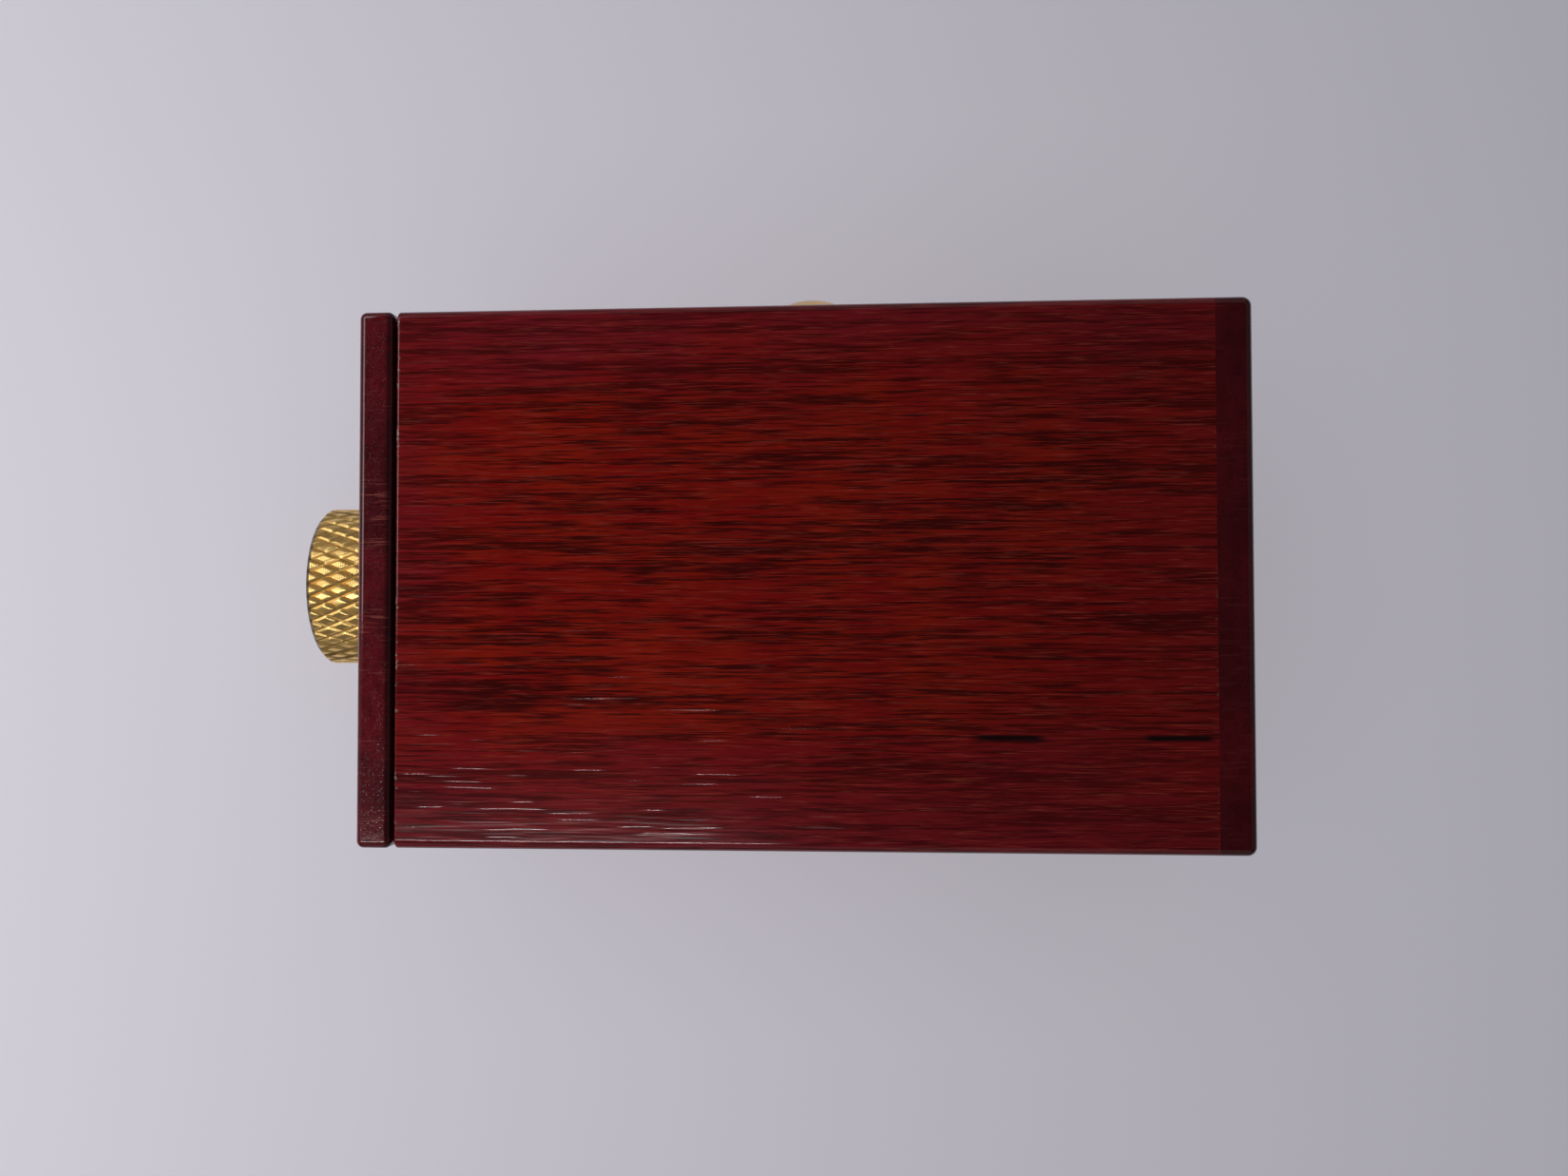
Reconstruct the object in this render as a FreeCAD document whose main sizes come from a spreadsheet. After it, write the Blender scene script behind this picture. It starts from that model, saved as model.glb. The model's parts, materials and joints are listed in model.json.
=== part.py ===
import FreeCAD, Part
import math
import operator
import os

import Sketcher

# A wooden puzzle box. A carcass of four mitred panels and a rear panel holds one drawer.
# A brass knob on the drawer front turns a cam disc, which slides two bolts into keepers in
# the side panels. A push-pull brass pin in the left panel locks the drawer a second time.
#
# Frame: X runs along the box, with the knob at its low end. Y runs across it, with the side
# pin at its high end. Z is up, and the origin is the centre of the underside. Left and right
# are as seen by someone who faces the knob. The box is closed and unlocked here.

SIZES = (
    ("box_length", 98.4, "outside length, without the knob"),
    ("box_width", 60.0, "outside width"),
    ("box_height", 50.0, "outside height"),
    ("wall", 4.0, "thickness of the four long panels"),
    ("rear_thick", 4.0, "thickness of the rear panel"),
    ("front_thick", 4.0, "thickness of the drawer front"),
    ("front_gap", 0.4, "gap between the drawer front and the carcass"),
    ("outer_round", 1.0, "rounding of the carcass's outer edges"),
    ("mouth_round", 0.3, "rounding of the carcass's edges round the drawer"),
    ("front_round", 0.8, "rounding of the drawer front's edges"),
    ("tongue_depth", 1.5, "step of the rear panel inside the carcass"),
    ("glue_gap", 0.05, "room for glue round a step, a plug or a bush"),
    ("run_gap", 0.3, "gap between the drawer and the panels beside and below it"),
    ("top_gap", 0.5, "gap above the drawer"),
    ("end_gap", 0.5, "gap behind the drawer"),
    ("side_thick", 3.0, "thickness of the drawer sides"),
    ("back_thick", 3.0, "thickness of the drawer back"),
    ("board_thick", 3.0, "thickness of the lock board"),
    ("bottom_thick", 2.5, "thickness of the drawer bottom"),
    ("rabbet", 1.5, "step of the drawer bottom into the sides"),
    ("dado", 1.2, "depth of the grooves that hold the back and the lock board"),
    ("drawer_tail", 1.0, "length of the drawer sides behind the back"),
    ("lock_depth", 8.0, "room for the lock between the drawer front and the lock board"),
    ("drawer_travel", 72.0, "how far the drawer pulls out"),
    ("stop_place", 7.0, "distance of the stop screw from the mouth"),
    ("stop_radius", 1.5, "shank of the stop screw"),
    ("stop_head_radius", 2.6, "head of the stop screw"),
    ("stop_head_tall", 1.8, "height of the stop screw's head"),
    ("stop_sink", 0.2, "how far the stop screw's head lies inside the underside"),
    ("stop_groove", 1.5, "depth of the groove that the stop screw runs in"),
    ("stop_gap", 0.3, "gap round the stop screw in its groove"),
    ("knob_radius", 9.8, "outside of the knob"),
    ("knob_reach", 12.0, "how far the knob stands out of the drawer front"),
    ("knob_gap", 0.4, "gap between the knob and the drawer front"),
    ("knob_chamfer", 0.5, "chamfer of the knob's outer rim"),
    ("grip_depth", 9.6, "how deep the spindle goes into the knob"),
    ("grub_radius", 1.5, "grub screw in the knob"),
    ("grub_sink", 1.0, "how far the grub screw lies below the knob's surface"),
    ("grub_socket", 0.85, "corner radius of the grub screw's six-sided socket"),
    ("spindle_radius", 2.5, "spindle where it runs in the bush"),
    ("square_side", 3.4, "square of the spindle that drives the cam disc"),
    ("tail_radius", 1.5, "threaded tail of the spindle"),
    ("tail_spare", 0.6, "tail of the spindle behind its nut"),
    ("turn_fit", 0.05, "radial clearance of a turning or sliding shaft"),
    ("seat_fit", 0.02, "radial clearance of a shaft that is fixed in its hole"),
    ("bush_radius", 4.0, "barrel of the knob bush"),
    ("flange_radius", 6.5, "flange of the knob bush"),
    ("flange_thick", 1.0, "thickness of the knob bush's flange"),
    ("flange_room", 0.5, "room round the flange inside the knob"),
    ("bush_nut_flats", 11.0, "width across the flats of the bush's nut"),
    ("bush_nut_thick", 1.5, "thickness of the bush's nut"),
    ("cam_gap", 0.3, "gap between the bush's nut and the cam disc"),
    ("cam_thick", 2.0, "thickness of the cam disc"),
    ("cam_rim", 1.9, "metal of the cam disc outside its slots"),
    ("knob_turn", 90.0, "turn of the knob, in degrees"),
    ("slot_spare", 2.0, "turn of the slots past each end of the knob's turn, in degrees"),
    ("follower_place", 6.5, "distance of a bolt pin from the spindle, bolt drawn in"),
    ("follower_radius", 1.0, "bolt pin"),
    ("follower_gap", 0.1, "gap beside a bolt pin in its slot"),
    ("follower_sink", 0.2, "how far a bolt pin lies inside the cam disc and the bolt"),
    ("washer_radius", 3.5, "washer under the spindle's nut"),
    ("washer_thick", 0.5, "thickness of that washer"),
    ("nut_flats", 5.5, "width across the flats of the spindle's nut"),
    ("nut_thick", 2.0, "thickness of the spindle's nut"),
    ("bolt_travel", 3.0, "how far a bolt slides for the whole turn"),
    ("bolt_thick", 2.0, "thickness of a bolt"),
    ("bolt_tall", 8.0, "height of a bolt"),
    ("bolt_inset", 0.5, "how far a drawn-in bolt lies inside the drawer's side"),
    ("bolt_tail", 1.8, "length of a bolt between its pin and its inner end"),
    ("bolt_bevel", 0.5, "bevel of a bolt's outer end"),
    ("bolt_gap", 0.2, "gap round a bolt in its guide, the drawer side and the keeper"),
    ("guide_place", 2.0, "gap between a bolt guide and the drawer's side"),
    ("guide_width", 5.0, "width of a bolt guide along the bolt"),
    ("guide_metal", 0.8, "thickness of the bolt guide's sheet"),
    ("guide_foot", 4.5, "length of a bolt guide's foot"),
    ("screw_radius", 0.7, "shank of a guide screw"),
    ("screw_head_radius", 1.3, "head of a guide screw"),
    ("screw_head_tall", 0.8, "height of a guide screw's head"),
    ("screw_cover", 0.6, "wood left under a guide screw's point"),
    ("keeper_thick", 0.8, "thickness of a keeper plate"),
    ("keeper_margin", 2.4, "metal beside a keeper's hole"),
    ("keeper_ends", 4.0, "metal above and below a keeper's hole"),
    ("mortise_spare", 0.5, "room past the end of a thrown bolt"),
    ("tack_radius", 0.6, "shank of a keeper pin"),
    ("tack_head_radius", 1.1, "head of a keeper pin"),
    ("tack_head_tall", 0.4, "height of a keeper pin's head"),
    ("tack_cover", 1.0, "wood left under a keeper pin's point"),
    ("pin_place", 0.3, "distance of the side pin from mid-length"),
    ("pin_radius", 1.5, "shaft of the side pin"),
    ("pin_travel", 2.5, "how far the side pin pushes in"),
    ("pin_clear", 0.2, "gap between the drawn-out pin's end and the cavity"),
    ("pin_socket", 0.3, "gap round and under the side pin in the drawer's side"),
    ("pin_head_radius", 5.5, "head of the side pin"),
    ("pin_head_rise", 2.0, "height of the head's dome"),
    ("pin_head_rim", 0.3, "straight rim under the dome"),
    ("pin_head_grip", 1.1, "how deep the shaft goes into the head"),
    ("pin_stop_gap", 0.1, "gap under the head when the pin is in"),
    ("collar_radius", 2.35, "collar that keeps the side pin in its bush"),
    ("collar_thick", 0.6, "thickness of the collar"),
    ("collar_gap", 0.2, "gap between the collar and the bush's shoulder"),
    ("collar_room", 0.15, "gap round the collar"),
    ("pin_bush_radius", 3.2, "barrel of the side pin's bush"),
    ("pin_flange_radius", 4.5, "flange of the side pin's bush"),
    ("pin_flange_thick", 0.6, "thickness of that flange"),
)

WORK = {"+": operator.add, "-": operator.sub, "*": operator.mul, "/": operator.truediv}


class Size:
    """A length: the formula that the document keeps, and the value that it has now."""

    def __init__(self, formula, value):
        self.formula = formula
        self.value = value

    def __add__(self, other):
        return combine("+", self, other)

    def __sub__(self, other):
        return combine("-", self, other)

    def __mul__(self, other):
        return combine("*", self, other)

    def __truediv__(self, other):
        return combine("/", self, other)

    def __rmul__(self, other):
        return combine("*", other, self)

    def __neg__(self):
        return combine("*", -1, self)


def as_size(item):
    """The item as a Size, if it is a plain number."""
    if isinstance(item, Size):
        return item
    return Size(f"{item:.6f}", float(item))


def combine(sign, left, right):
    """Two lengths worked into one."""
    left, right = as_size(left), as_size(right)
    return Size(f"({left.formula} {sign} {right.formula})", WORK[sign](left.value, right.value))


class Sizes:
    """The spreadsheet's sizes, each under its own name."""

    def __init__(self, sheet, rows):
        for row, (name, value, note) in enumerate(rows, start=1):
            sheet.set(f"A{row}", name)
            sheet.set(f"B{row}", str(value))
            sheet.set(f"C{row}", note)
            sheet.setAlias(f"B{row}", name)
            setattr(self, name, Size(f"{sheet.Name}.{name}", value))


doc = FreeCAD.newDocument("puzzle_box")
size = Sizes(doc.addObject("Spreadsheet::Sheet", "Sizes"), SIZES)
doc.recompute()

# Places that several pieces share.
FRONT_FACE = -size.box_length / 2
FRONT_BACK = FRONT_FACE + size.front_thick
MOUTH = FRONT_BACK + size.front_gap
REAR_FACE = size.box_length / 2
TUBE_END = REAR_FACE - size.rear_thick
CAVITY_END = TUBE_END - size.tongue_depth
HALF_WIDTH = size.box_width / 2
HALF_CAVITY = HALF_WIDTH - size.wall
CAVITY_TOP = size.box_height - size.wall
MID_HEIGHT = size.box_height / 2

DRAWER_END = CAVITY_END - size.end_gap
DRAWER_OUTSIDE = HALF_CAVITY - size.run_gap
DRAWER_INSIDE = DRAWER_OUTSIDE - size.side_thick
DRAWER_UNDER = size.wall + size.run_gap
DRAWER_FLOOR = DRAWER_UNDER + size.bottom_thick
DRAWER_TOP = CAVITY_TOP - size.top_gap
BACK_END = DRAWER_END - size.drawer_tail
BACK_START = BACK_END - size.back_thick
BOARD_START = FRONT_BACK + size.lock_depth
BOARD_END = BOARD_START + size.board_thick

BOLT_END = BOARD_START - size.bolt_gap
BOLT_START = BOLT_END - size.bolt_thick
BOLT_MIDDLE = (BOLT_START + BOLT_END) / 2
BOLT_HOLE_WIDE = size.bolt_thick + size.bolt_gap * 2
BOLT_HOLE_TALL = size.bolt_tall + size.bolt_gap * 2
BOLT_TIP = DRAWER_OUTSIDE - size.bolt_inset
BOLT_TOP = MID_HEIGHT + size.bolt_tall / 2
BOLT_BASE = MID_HEIGHT - size.bolt_tall / 2
MORTISE_END = BOLT_TIP + size.bolt_travel + size.mortise_spare
GUIDE_END = DRAWER_INSIDE - size.guide_place
GUIDE_START = GUIDE_END - size.guide_width
TACK_RISE = (BOLT_HOLE_TALL + size.keeper_ends) / 2

# Places along the knob's axis, counted from the drawer front's outer face, outwards.
BUSH_NUT_BACK = -size.front_thick - size.bush_nut_thick
KNOB_MIDDLE = (size.knob_gap + size.knob_reach) / 2
CAM_FRONT = BUSH_NUT_BACK - size.cam_gap
CAM_BACK = CAM_FRONT - size.cam_thick
WASHER_BACK = CAM_BACK - size.washer_thick
NUT_BACK = WASHER_BACK - size.nut_thick
SLOT_HALF = size.follower_radius + size.follower_gap
CAM_RADIUS = size.follower_place + size.bolt_travel + SLOT_HALF + size.cam_rim

# Places along the side pin's axis, counted from the left panel's outer face, outwards.
PIN_TIP = size.pin_clear - size.wall
COLLAR_SEAT = size.pin_travel + size.collar_thick + size.collar_gap - size.wall
COLLAR_TOP = COLLAR_SEAT - size.collar_gap
HEAD_UNDER = size.pin_flange_thick + size.pin_travel + size.pin_stop_gap

SIDES = (("left", 1), ("right", -1))
PLANES = {"X": ("YZ_Plane", 1), "Y": ("XZ_Plane", -1), "Z": ("XY_Plane", 1)}
FACINGS = {
    "-X": FreeCAD.Rotation(FreeCAD.Vector(0, 1, 0), -90),
    "+Y": FreeCAD.Rotation(FreeCAD.Vector(1, 0, 0), -90),
    "-Y": FreeCAD.Rotation(FreeCAD.Vector(1, 0, 0), 90),
    "-Z": FreeCAD.Rotation(FreeCAD.Vector(1, 0, 0), 180),
    "+Z": FreeCAD.Rotation(),
}
SLOT_POINTS = 15
PAST = 1.0
NEAR = 0.01

pieces = []


# ---- The document's objects ------------------------------------------------------------


def bind(item, name, length):
    """Ties one of an object's sizes to the spreadsheet."""
    item.setExpression(name, as_size(length).formula)


def new_body():
    """An empty body."""
    return doc.addObject("PartDesign::Body", "Body")


def keep(item, name):
    """Names a finished piece and puts it on the list of what is written."""
    item.Label = name
    pieces.append(item)
    return item


def place(item, facing, x_place, y_place, z_place):
    """Turns an object's own Z to face a direction and sets its origin in the box."""
    item.Placement = FreeCAD.Placement(FreeCAD.Vector(), FACINGS[facing])
    bind(item, "Placement.Base.x", x_place)
    bind(item, "Placement.Base.y", y_place)
    bind(item, "Placement.Base.z", z_place)
    return item


def rectangle(low_u, low_v, high_u, high_v):
    """The four corners of a rectangle in a sketch."""
    return [(low_u, low_v), (high_u, low_v), (high_u, high_v), (low_u, high_v)]


def centred(mid_u, mid_v, width_u, width_v):
    """The four corners of a rectangle about its middle."""
    mid_u, mid_v = as_size(mid_u), as_size(mid_v)
    half_u, half_v = width_u / 2, width_v / 2
    return rectangle(mid_u - half_u, mid_v - half_v, mid_u + half_u, mid_v + half_v)


def hexagon(flats):
    """The six corners of a nut or socket, from its width across the flats."""
    reach = flats / math.sqrt(3)
    turns = [math.radians(60 * index) for index in range(6)]
    return [(reach * math.cos(turn), reach * math.sin(turn)) for turn in turns]


class Disc:
    """A circle in a sketch."""

    def __init__(self, centre, radius):
        self.centre = centre
        self.radius = radius


def vector(corner):
    """A sketch point at its present place."""
    return FreeCAD.Vector(as_size(corner[0]).value, as_size(corner[1]).value, 0)


def hold(sketch, geometry, point, corner):
    """Ties a sketch point to its place, measured from the sketch's origin."""
    for direction, length in zip(("DistanceX", "DistanceY"), corner):
        length = as_size(length)
        rule = sketch.addConstraint(Sketcher.Constraint(direction, -1, 1, geometry, point, length.value))
        bind(sketch, f"Constraints[{rule}]", length)


def draw(sketch, shape):
    """Adds a circle or a closed straight-sided outline to a sketch."""
    first = sketch.GeometryCount
    if isinstance(shape, Disc):
        radius = as_size(shape.radius)
        sketch.addGeometry(Part.Circle(vector(shape.centre), FreeCAD.Vector(0, 0, 1), radius.value))
        hold(sketch, first, 3, shape.centre)
        rule = sketch.addConstraint(Sketcher.Constraint("Radius", first, radius.value))
        bind(sketch, f"Constraints[{rule}]", radius)
        return
    count = len(shape)
    for index, corner in enumerate(shape):
        end = shape[(index + 1) % count]
        sketch.addGeometry(Part.LineSegment(vector(corner), vector(end)))
    for index, corner in enumerate(shape):
        after = first + (index + 1) % count
        sketch.addConstraint(Sketcher.Constraint("Coincident", first + index, 2, after, 1))
        hold(sketch, first + index, 1, corner)


def new_sketch(body, axis, level, shapes):
    """A sketch square to an axis of its body, at a level along it."""
    role, sign = PLANES[axis]
    sketch = body.newObject("Sketcher::SketchObject", "Sketch")
    plane = next(item for item in body.Origin.OriginFeatures if item.Role == role)
    sketch.AttachmentSupport = [(plane, "")]
    sketch.MapMode = "FlatFace"
    bind(sketch, "AttachmentOffset.Base.z", sign * as_size(level))
    for shape in shapes:
        draw(sketch, shape)
    return sketch


def prism(body, axis, low, high, *shapes):
    """Adds material between two levels along an axis."""
    pad = body.newObject("PartDesign::Pad", "Pad")
    pad.Profile = new_sketch(body, axis, low, shapes)
    pad.Reversed = PLANES[axis][1] < 0
    bind(pad, "Length", as_size(high) - low)
    return pad


def hollow(body, axis, low, high, *shapes):
    """Takes material away between two levels along an axis."""
    pocket = body.newObject("PartDesign::Pocket", "Pocket")
    pocket.Profile = new_sketch(body, axis, low, shapes)
    pocket.Reversed = PLANES[axis][1] > 0
    bind(pocket, "Length", as_size(high) - low)
    return pocket


def turned(body, outline):
    """Turns an outline of (radius, height) corners about the body's own Z."""
    sketch = new_sketch(body, "Y", 0, [outline])
    turning = body.newObject("PartDesign::Revolution", "Revolution")
    turning.Profile = sketch
    turning.ReferenceAxis = (sketch, ["V_Axis"])
    turning.Angle = 360
    return turning


def round_edges(body, radius, chosen=lambda edge: True):
    """Rounds those edges of a body that pass a test."""
    doc.recompute()
    base = body.Tip
    names = [f"Edge{index}" for index, edge in enumerate(base.Shape.Edges, 1) if chosen(edge)]
    fillet = body.newObject("PartDesign::Fillet", "Fillet")
    fillet.Base = (base, names)
    bind(fillet, "Radius", radius)
    return fillet


def runs_along(edge, axis):
    """Whether an edge is straight along one axis."""
    box = edge.BoundBox
    lengths = {"X": box.XLength, "Y": box.YLength, "Z": box.ZLength}
    along = lengths.pop(axis)
    return along > NEAR and max(lengths.values()) < NEAR


def bevel_edges(body, width, chosen):
    """Chamfers those edges of a body that pass a test."""
    doc.recompute()
    base = body.Tip
    names = [f"Edge{index}" for index, edge in enumerate(base.Shape.Edges, 1) if chosen(edge)]
    chamfer = body.newObject("PartDesign::Chamfer", "Chamfer")
    chamfer.Base = (base, names)
    bind(chamfer, "Size", width)
    return chamfer


def cylinder(radius, low, high):
    """A plain cylinder along Z."""
    item = doc.addObject("Part::Cylinder", "Cylinder")
    bind(item, "Radius", radius)
    bind(item, "Height", as_size(high) - low)
    bind(item, "Placement.Base.z", low)
    return item


def block(width_x, width_y, low, high):
    """A plain block about the Z axis."""
    item = doc.addObject("Part::Box", "Box")
    bind(item, "Length", width_x)
    bind(item, "Width", width_y)
    bind(item, "Height", as_size(high) - low)
    bind(item, "Placement.Base.x", -as_size(width_x) / 2)
    bind(item, "Placement.Base.y", -as_size(width_y) / 2)
    bind(item, "Placement.Base.z", low)
    return item


def boolean(kind, base, tool):
    """A Cut, Common or Fuse of two objects."""
    item = doc.addObject(f"Part::{kind}", kind)
    item.Base = base
    item.Tool = tool
    return item


def compound(members):
    """Several solids in one object."""
    item = doc.addObject("Part::Compound", "Compound")
    item.Links = members
    return item


def nail(head_radius, head_tall, shank_radius, shank_long):
    """A flat-headed nail along Z: the head stands on the origin, the shank hangs below it."""
    head = cylinder(head_radius, 0, head_tall)
    shank = cylinder(shank_radius, -as_size(shank_long), head_tall / 2)
    return boolean("Fuse", head, shank)


def screw(head_radius, head_tall, shank_radius, shank_long):
    """A nail with a slot across its head."""
    whole = nail(head_radius, head_tall, shank_radius, shank_long)
    slot = block(head_radius * 2 + PAST, head_radius / 3, head_tall / 2, head_tall + PAST)
    return boolean("Cut", whole, slot)


# ---- Carcass ---------------------------------------------------------------------------


def sanded_block():
    """The carcass's outside, as one rounded block that trims every panel."""
    body = new_body()
    outside = centred(0, MID_HEIGHT, size.box_width, size.box_height)
    prism(body, "X", MOUTH, REAR_FACE, outside)

    def at_mouth(edge):
        return edge.BoundBox.XMax < MOUTH.value + NEAR

    round_edges(body, size.outer_round, lambda edge: not at_mouth(edge))
    round_edges(body, size.mouth_round, at_mouth)
    return body


def mitred(across, sign):
    """One long panel as a blank: its ends are square and its long edges are mitred."""
    body = new_body()
    if across == "Z":
        outer = MID_HEIGHT + sign * size.box_height / 2
        inner = outer - sign * size.wall
        outline = [
            (-HALF_WIDTH, outer),
            (HALF_WIDTH, outer),
            (HALF_CAVITY, inner),
            (-HALF_CAVITY, inner),
        ]
    else:
        outer = sign * HALF_WIDTH
        inner = sign * HALF_CAVITY
        outline = [
            (outer, as_size(0)),
            (outer, size.box_height),
            (inner, CAVITY_TOP),
            (inner, size.wall),
        ]
    prism(body, "X", MOUTH, TUBE_END, outline)
    return body


def side_levels(sign, near, far):
    """The two distances from the middle as a low and a high level along Y."""
    return (near, far) if sign > 0 else (-far, -near)


def bottom_panel():
    """Floor of the carcass, with the counterbored hole of the stop screw."""
    body = mitred("Z", -1)
    stop = (MOUTH + size.stop_place, 0)
    head = Disc(stop, size.stop_head_radius + size.glue_gap)
    shank = Disc(stop, size.stop_radius + size.seat_fit)
    hollow(body, "Z", 0, size.stop_sink + size.stop_head_tall, head)
    hollow(body, "Z", 0, size.wall + PAST, shank)
    return body


def tack_spots():
    """The places of a keeper's two nails, along and up."""
    return [(BOLT_MIDDLE, MID_HEIGHT + way * TACK_RISE) for way in (-1, 1)]


def keeper_outline(gap):
    """The outline of a keeper plate, or of its recess where the gap is 0."""
    wide = BOLT_HOLE_WIDE + (size.keeper_margin - gap) * 2
    tall = BOLT_HOLE_TALL + (size.keeper_ends - gap) * 2
    return centred(BOLT_MIDDLE, MID_HEIGHT, wide, tall)


def side_panel(sign):
    """A side of the carcass, cut for its keeper and the bolt, and for the pin's bush."""
    body = mitred("Y", sign)
    plate = keeper_outline(0)
    plate_back = HALF_CAVITY + size.keeper_thick
    mortise = centred(BOLT_MIDDLE, MID_HEIGHT, BOLT_HOLE_WIDE, BOLT_HOLE_TALL)
    tacks = [Disc(spot, size.tack_radius + size.seat_fit) for spot in tack_spots()]
    hollow(body, "Y", *side_levels(sign, HALF_CAVITY, plate_back), plate)
    hollow(body, "Y", *side_levels(sign, HALF_CAVITY, MORTISE_END), mortise)
    tack_end = HALF_WIDTH - size.tack_cover + size.glue_gap
    hollow(body, "Y", *side_levels(sign, HALF_CAVITY, tack_end), *tacks)
    if sign > 0:
        bush = Disc((size.pin_place, MID_HEIGHT), size.pin_bush_radius + size.seat_fit)
        hollow(body, "Y", HALF_CAVITY, HALF_WIDTH + PAST, bush)
    return body


def rear_panel():
    """Rear of the carcass, glued over the panels' ends, with a step inside them."""
    body = new_body()
    prism(body, "X", TUBE_END, REAR_FACE, centred(0, MID_HEIGHT, size.box_width, size.box_height))
    wide = HALF_CAVITY * 2 - size.glue_gap * 2
    tall = CAVITY_TOP - size.wall - size.glue_gap * 2
    prism(body, "X", CAVITY_END, TUBE_END, centred(0, MID_HEIGHT, wide, tall))
    return body


def keeper(sign):
    """A brass plate let into a side panel, with the hole that the bolt enters."""
    body = new_body()
    levels = side_levels(sign, HALF_CAVITY, HALF_CAVITY + size.keeper_thick)
    shanks = [Disc(spot, size.tack_radius + size.seat_fit) for spot in tack_spots()]
    heads = [Disc(spot, size.tack_head_radius + size.glue_gap) for spot in tack_spots()]
    hole = centred(BOLT_MIDDLE, MID_HEIGHT, BOLT_HOLE_WIDE, BOLT_HOLE_TALL)
    prism(body, "Y", *levels, keeper_outline(size.glue_gap))
    hollow(body, "Y", *levels, hole, *shanks)
    hollow(body, "Y", *side_levels(sign, HALF_CAVITY, HALF_CAVITY + size.tack_head_tall), *heads)
    return body


def keeper_pins():
    """The four small brass nails of the two keepers, as one group."""
    long = size.wall - size.tack_head_tall - size.tack_cover
    members = []
    for _, sign in SIDES:
        seat = sign * (HALF_CAVITY + size.tack_head_tall)
        facing = "-Y" if sign > 0 else "+Y"
        for way in (-1, 1):
            tack = nail(size.tack_head_radius, size.tack_head_tall, size.tack_radius, long)
            members.append(place(tack, facing, BOLT_MIDDLE, seat, MID_HEIGHT + way * TACK_RISE))
    return compound(members)


def stop_screw():
    """The screw from below whose point runs in the drawer's groove and stops it."""
    reach = DRAWER_UNDER + size.stop_groove - size.stop_gap - size.stop_sink - size.stop_head_tall
    item = screw(size.stop_head_radius, size.stop_head_tall, size.stop_radius, reach)
    return place(item, "-Z", MOUTH + size.stop_place, 0, size.stop_sink + size.stop_head_tall)


def side_pin_bush():
    """The flanged bush in the left panel, bored wide from inside for the pin's collar."""
    body = new_body()
    bore = size.pin_radius + size.turn_fit
    room = size.collar_radius + size.collar_room
    turned(body, [
        (bore, COLLAR_SEAT),
        (room, COLLAR_SEAT),
        (room, -size.wall),
        (size.pin_bush_radius, -size.wall),
        (size.pin_bush_radius, as_size(0)),
        (size.pin_flange_radius, as_size(0)),
        (size.pin_flange_radius, size.pin_flange_thick),
        (bore, size.pin_flange_thick),
    ])
    return place(body, "+Y", size.pin_place, HALF_WIDTH, MID_HEIGHT)


# ---- Drawer ----------------------------------------------------------------------------


def drawer_front():
    """The board that closes the box, with rounded edges and the hole of the knob's bush."""
    body = new_body()
    outside = centred(0, MID_HEIGHT, size.box_width, size.box_height)
    hole = Disc((0, MID_HEIGHT), size.bush_radius + size.seat_fit)
    prism(body, "X", FRONT_FACE, FRONT_BACK, outside)
    round_edges(body, size.front_round)
    hollow(body, "X", FRONT_FACE, FRONT_BACK, hole)
    return body


def drawer_side(sign):
    """A side of the drawer: rabbeted for the bottom, grooved for the back and lock board."""
    body = new_body()
    outer = sign * DRAWER_OUTSIDE
    inner = sign * DRAWER_INSIDE
    step = sign * (DRAWER_INSIDE + size.rabbet)
    section = [
        (outer, DRAWER_UNDER),
        (outer, DRAWER_TOP),
        (inner, DRAWER_TOP),
        (inner, DRAWER_FLOOR),
        (step, DRAWER_FLOOR),
        (step, DRAWER_UNDER),
    ]
    prism(body, "X", FRONT_BACK, DRAWER_END, section)
    grooves = [
        rectangle(start, DRAWER_FLOOR, end, DRAWER_TOP + PAST)
        for start, end in ((BOARD_START, BOARD_END), (BACK_START, BACK_END))
    ]
    hollow(body, "Y", *side_levels(sign, DRAWER_INSIDE, DRAWER_INSIDE + size.dado), *grooves)
    bolt_hole = centred(BOLT_MIDDLE, MID_HEIGHT, BOLT_HOLE_WIDE, BOLT_HOLE_TALL)
    hollow(body, "Y", *side_levels(sign, DRAWER_INSIDE, DRAWER_OUTSIDE), bolt_hole)
    if sign > 0:
        deep = PIN_TIP - size.pin_travel - size.pin_socket + HALF_WIDTH
        socket = Disc((size.pin_place, MID_HEIGHT), size.pin_radius + size.pin_socket)
        hollow(body, "Y", deep, DRAWER_OUTSIDE, socket)
    return body


def drawer_bottom():
    """Bottom of the drawer, with the groove of the stop screw in its underside."""
    body = new_body()
    wide = (DRAWER_INSIDE + size.rabbet) * 2
    middle = (FRONT_BACK + DRAWER_END) / 2
    prism(body, "Z", DRAWER_UNDER, DRAWER_FLOOR, centred(middle, 0, DRAWER_END - FRONT_BACK, wide))
    room = size.stop_radius + size.stop_gap
    start = MOUTH + size.stop_place - room
    end = MOUTH + size.stop_place + size.drawer_travel + room
    hollow(body, "Z", DRAWER_UNDER, DRAWER_UNDER + size.stop_groove, rectangle(start, -room, end, room))
    return body


def cross_board(start, end):
    """A board across the drawer, held in the sides' grooves."""
    body = new_body()
    half = DRAWER_INSIDE + size.dado
    prism(body, "X", start, end, rectangle(-half, DRAWER_FLOOR, half, DRAWER_TOP))
    return body


def guide_spots(sign):
    """The places of a bolt guide's two screws, across and up."""
    across = sign * (GUIDE_START + GUIDE_END) / 2
    rise = size.bolt_tall / 2 + size.bolt_gap + size.guide_metal / 2 + size.guide_foot / 2
    return [(across, MID_HEIGHT + way * rise) for way in (-1, 1)]


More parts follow.
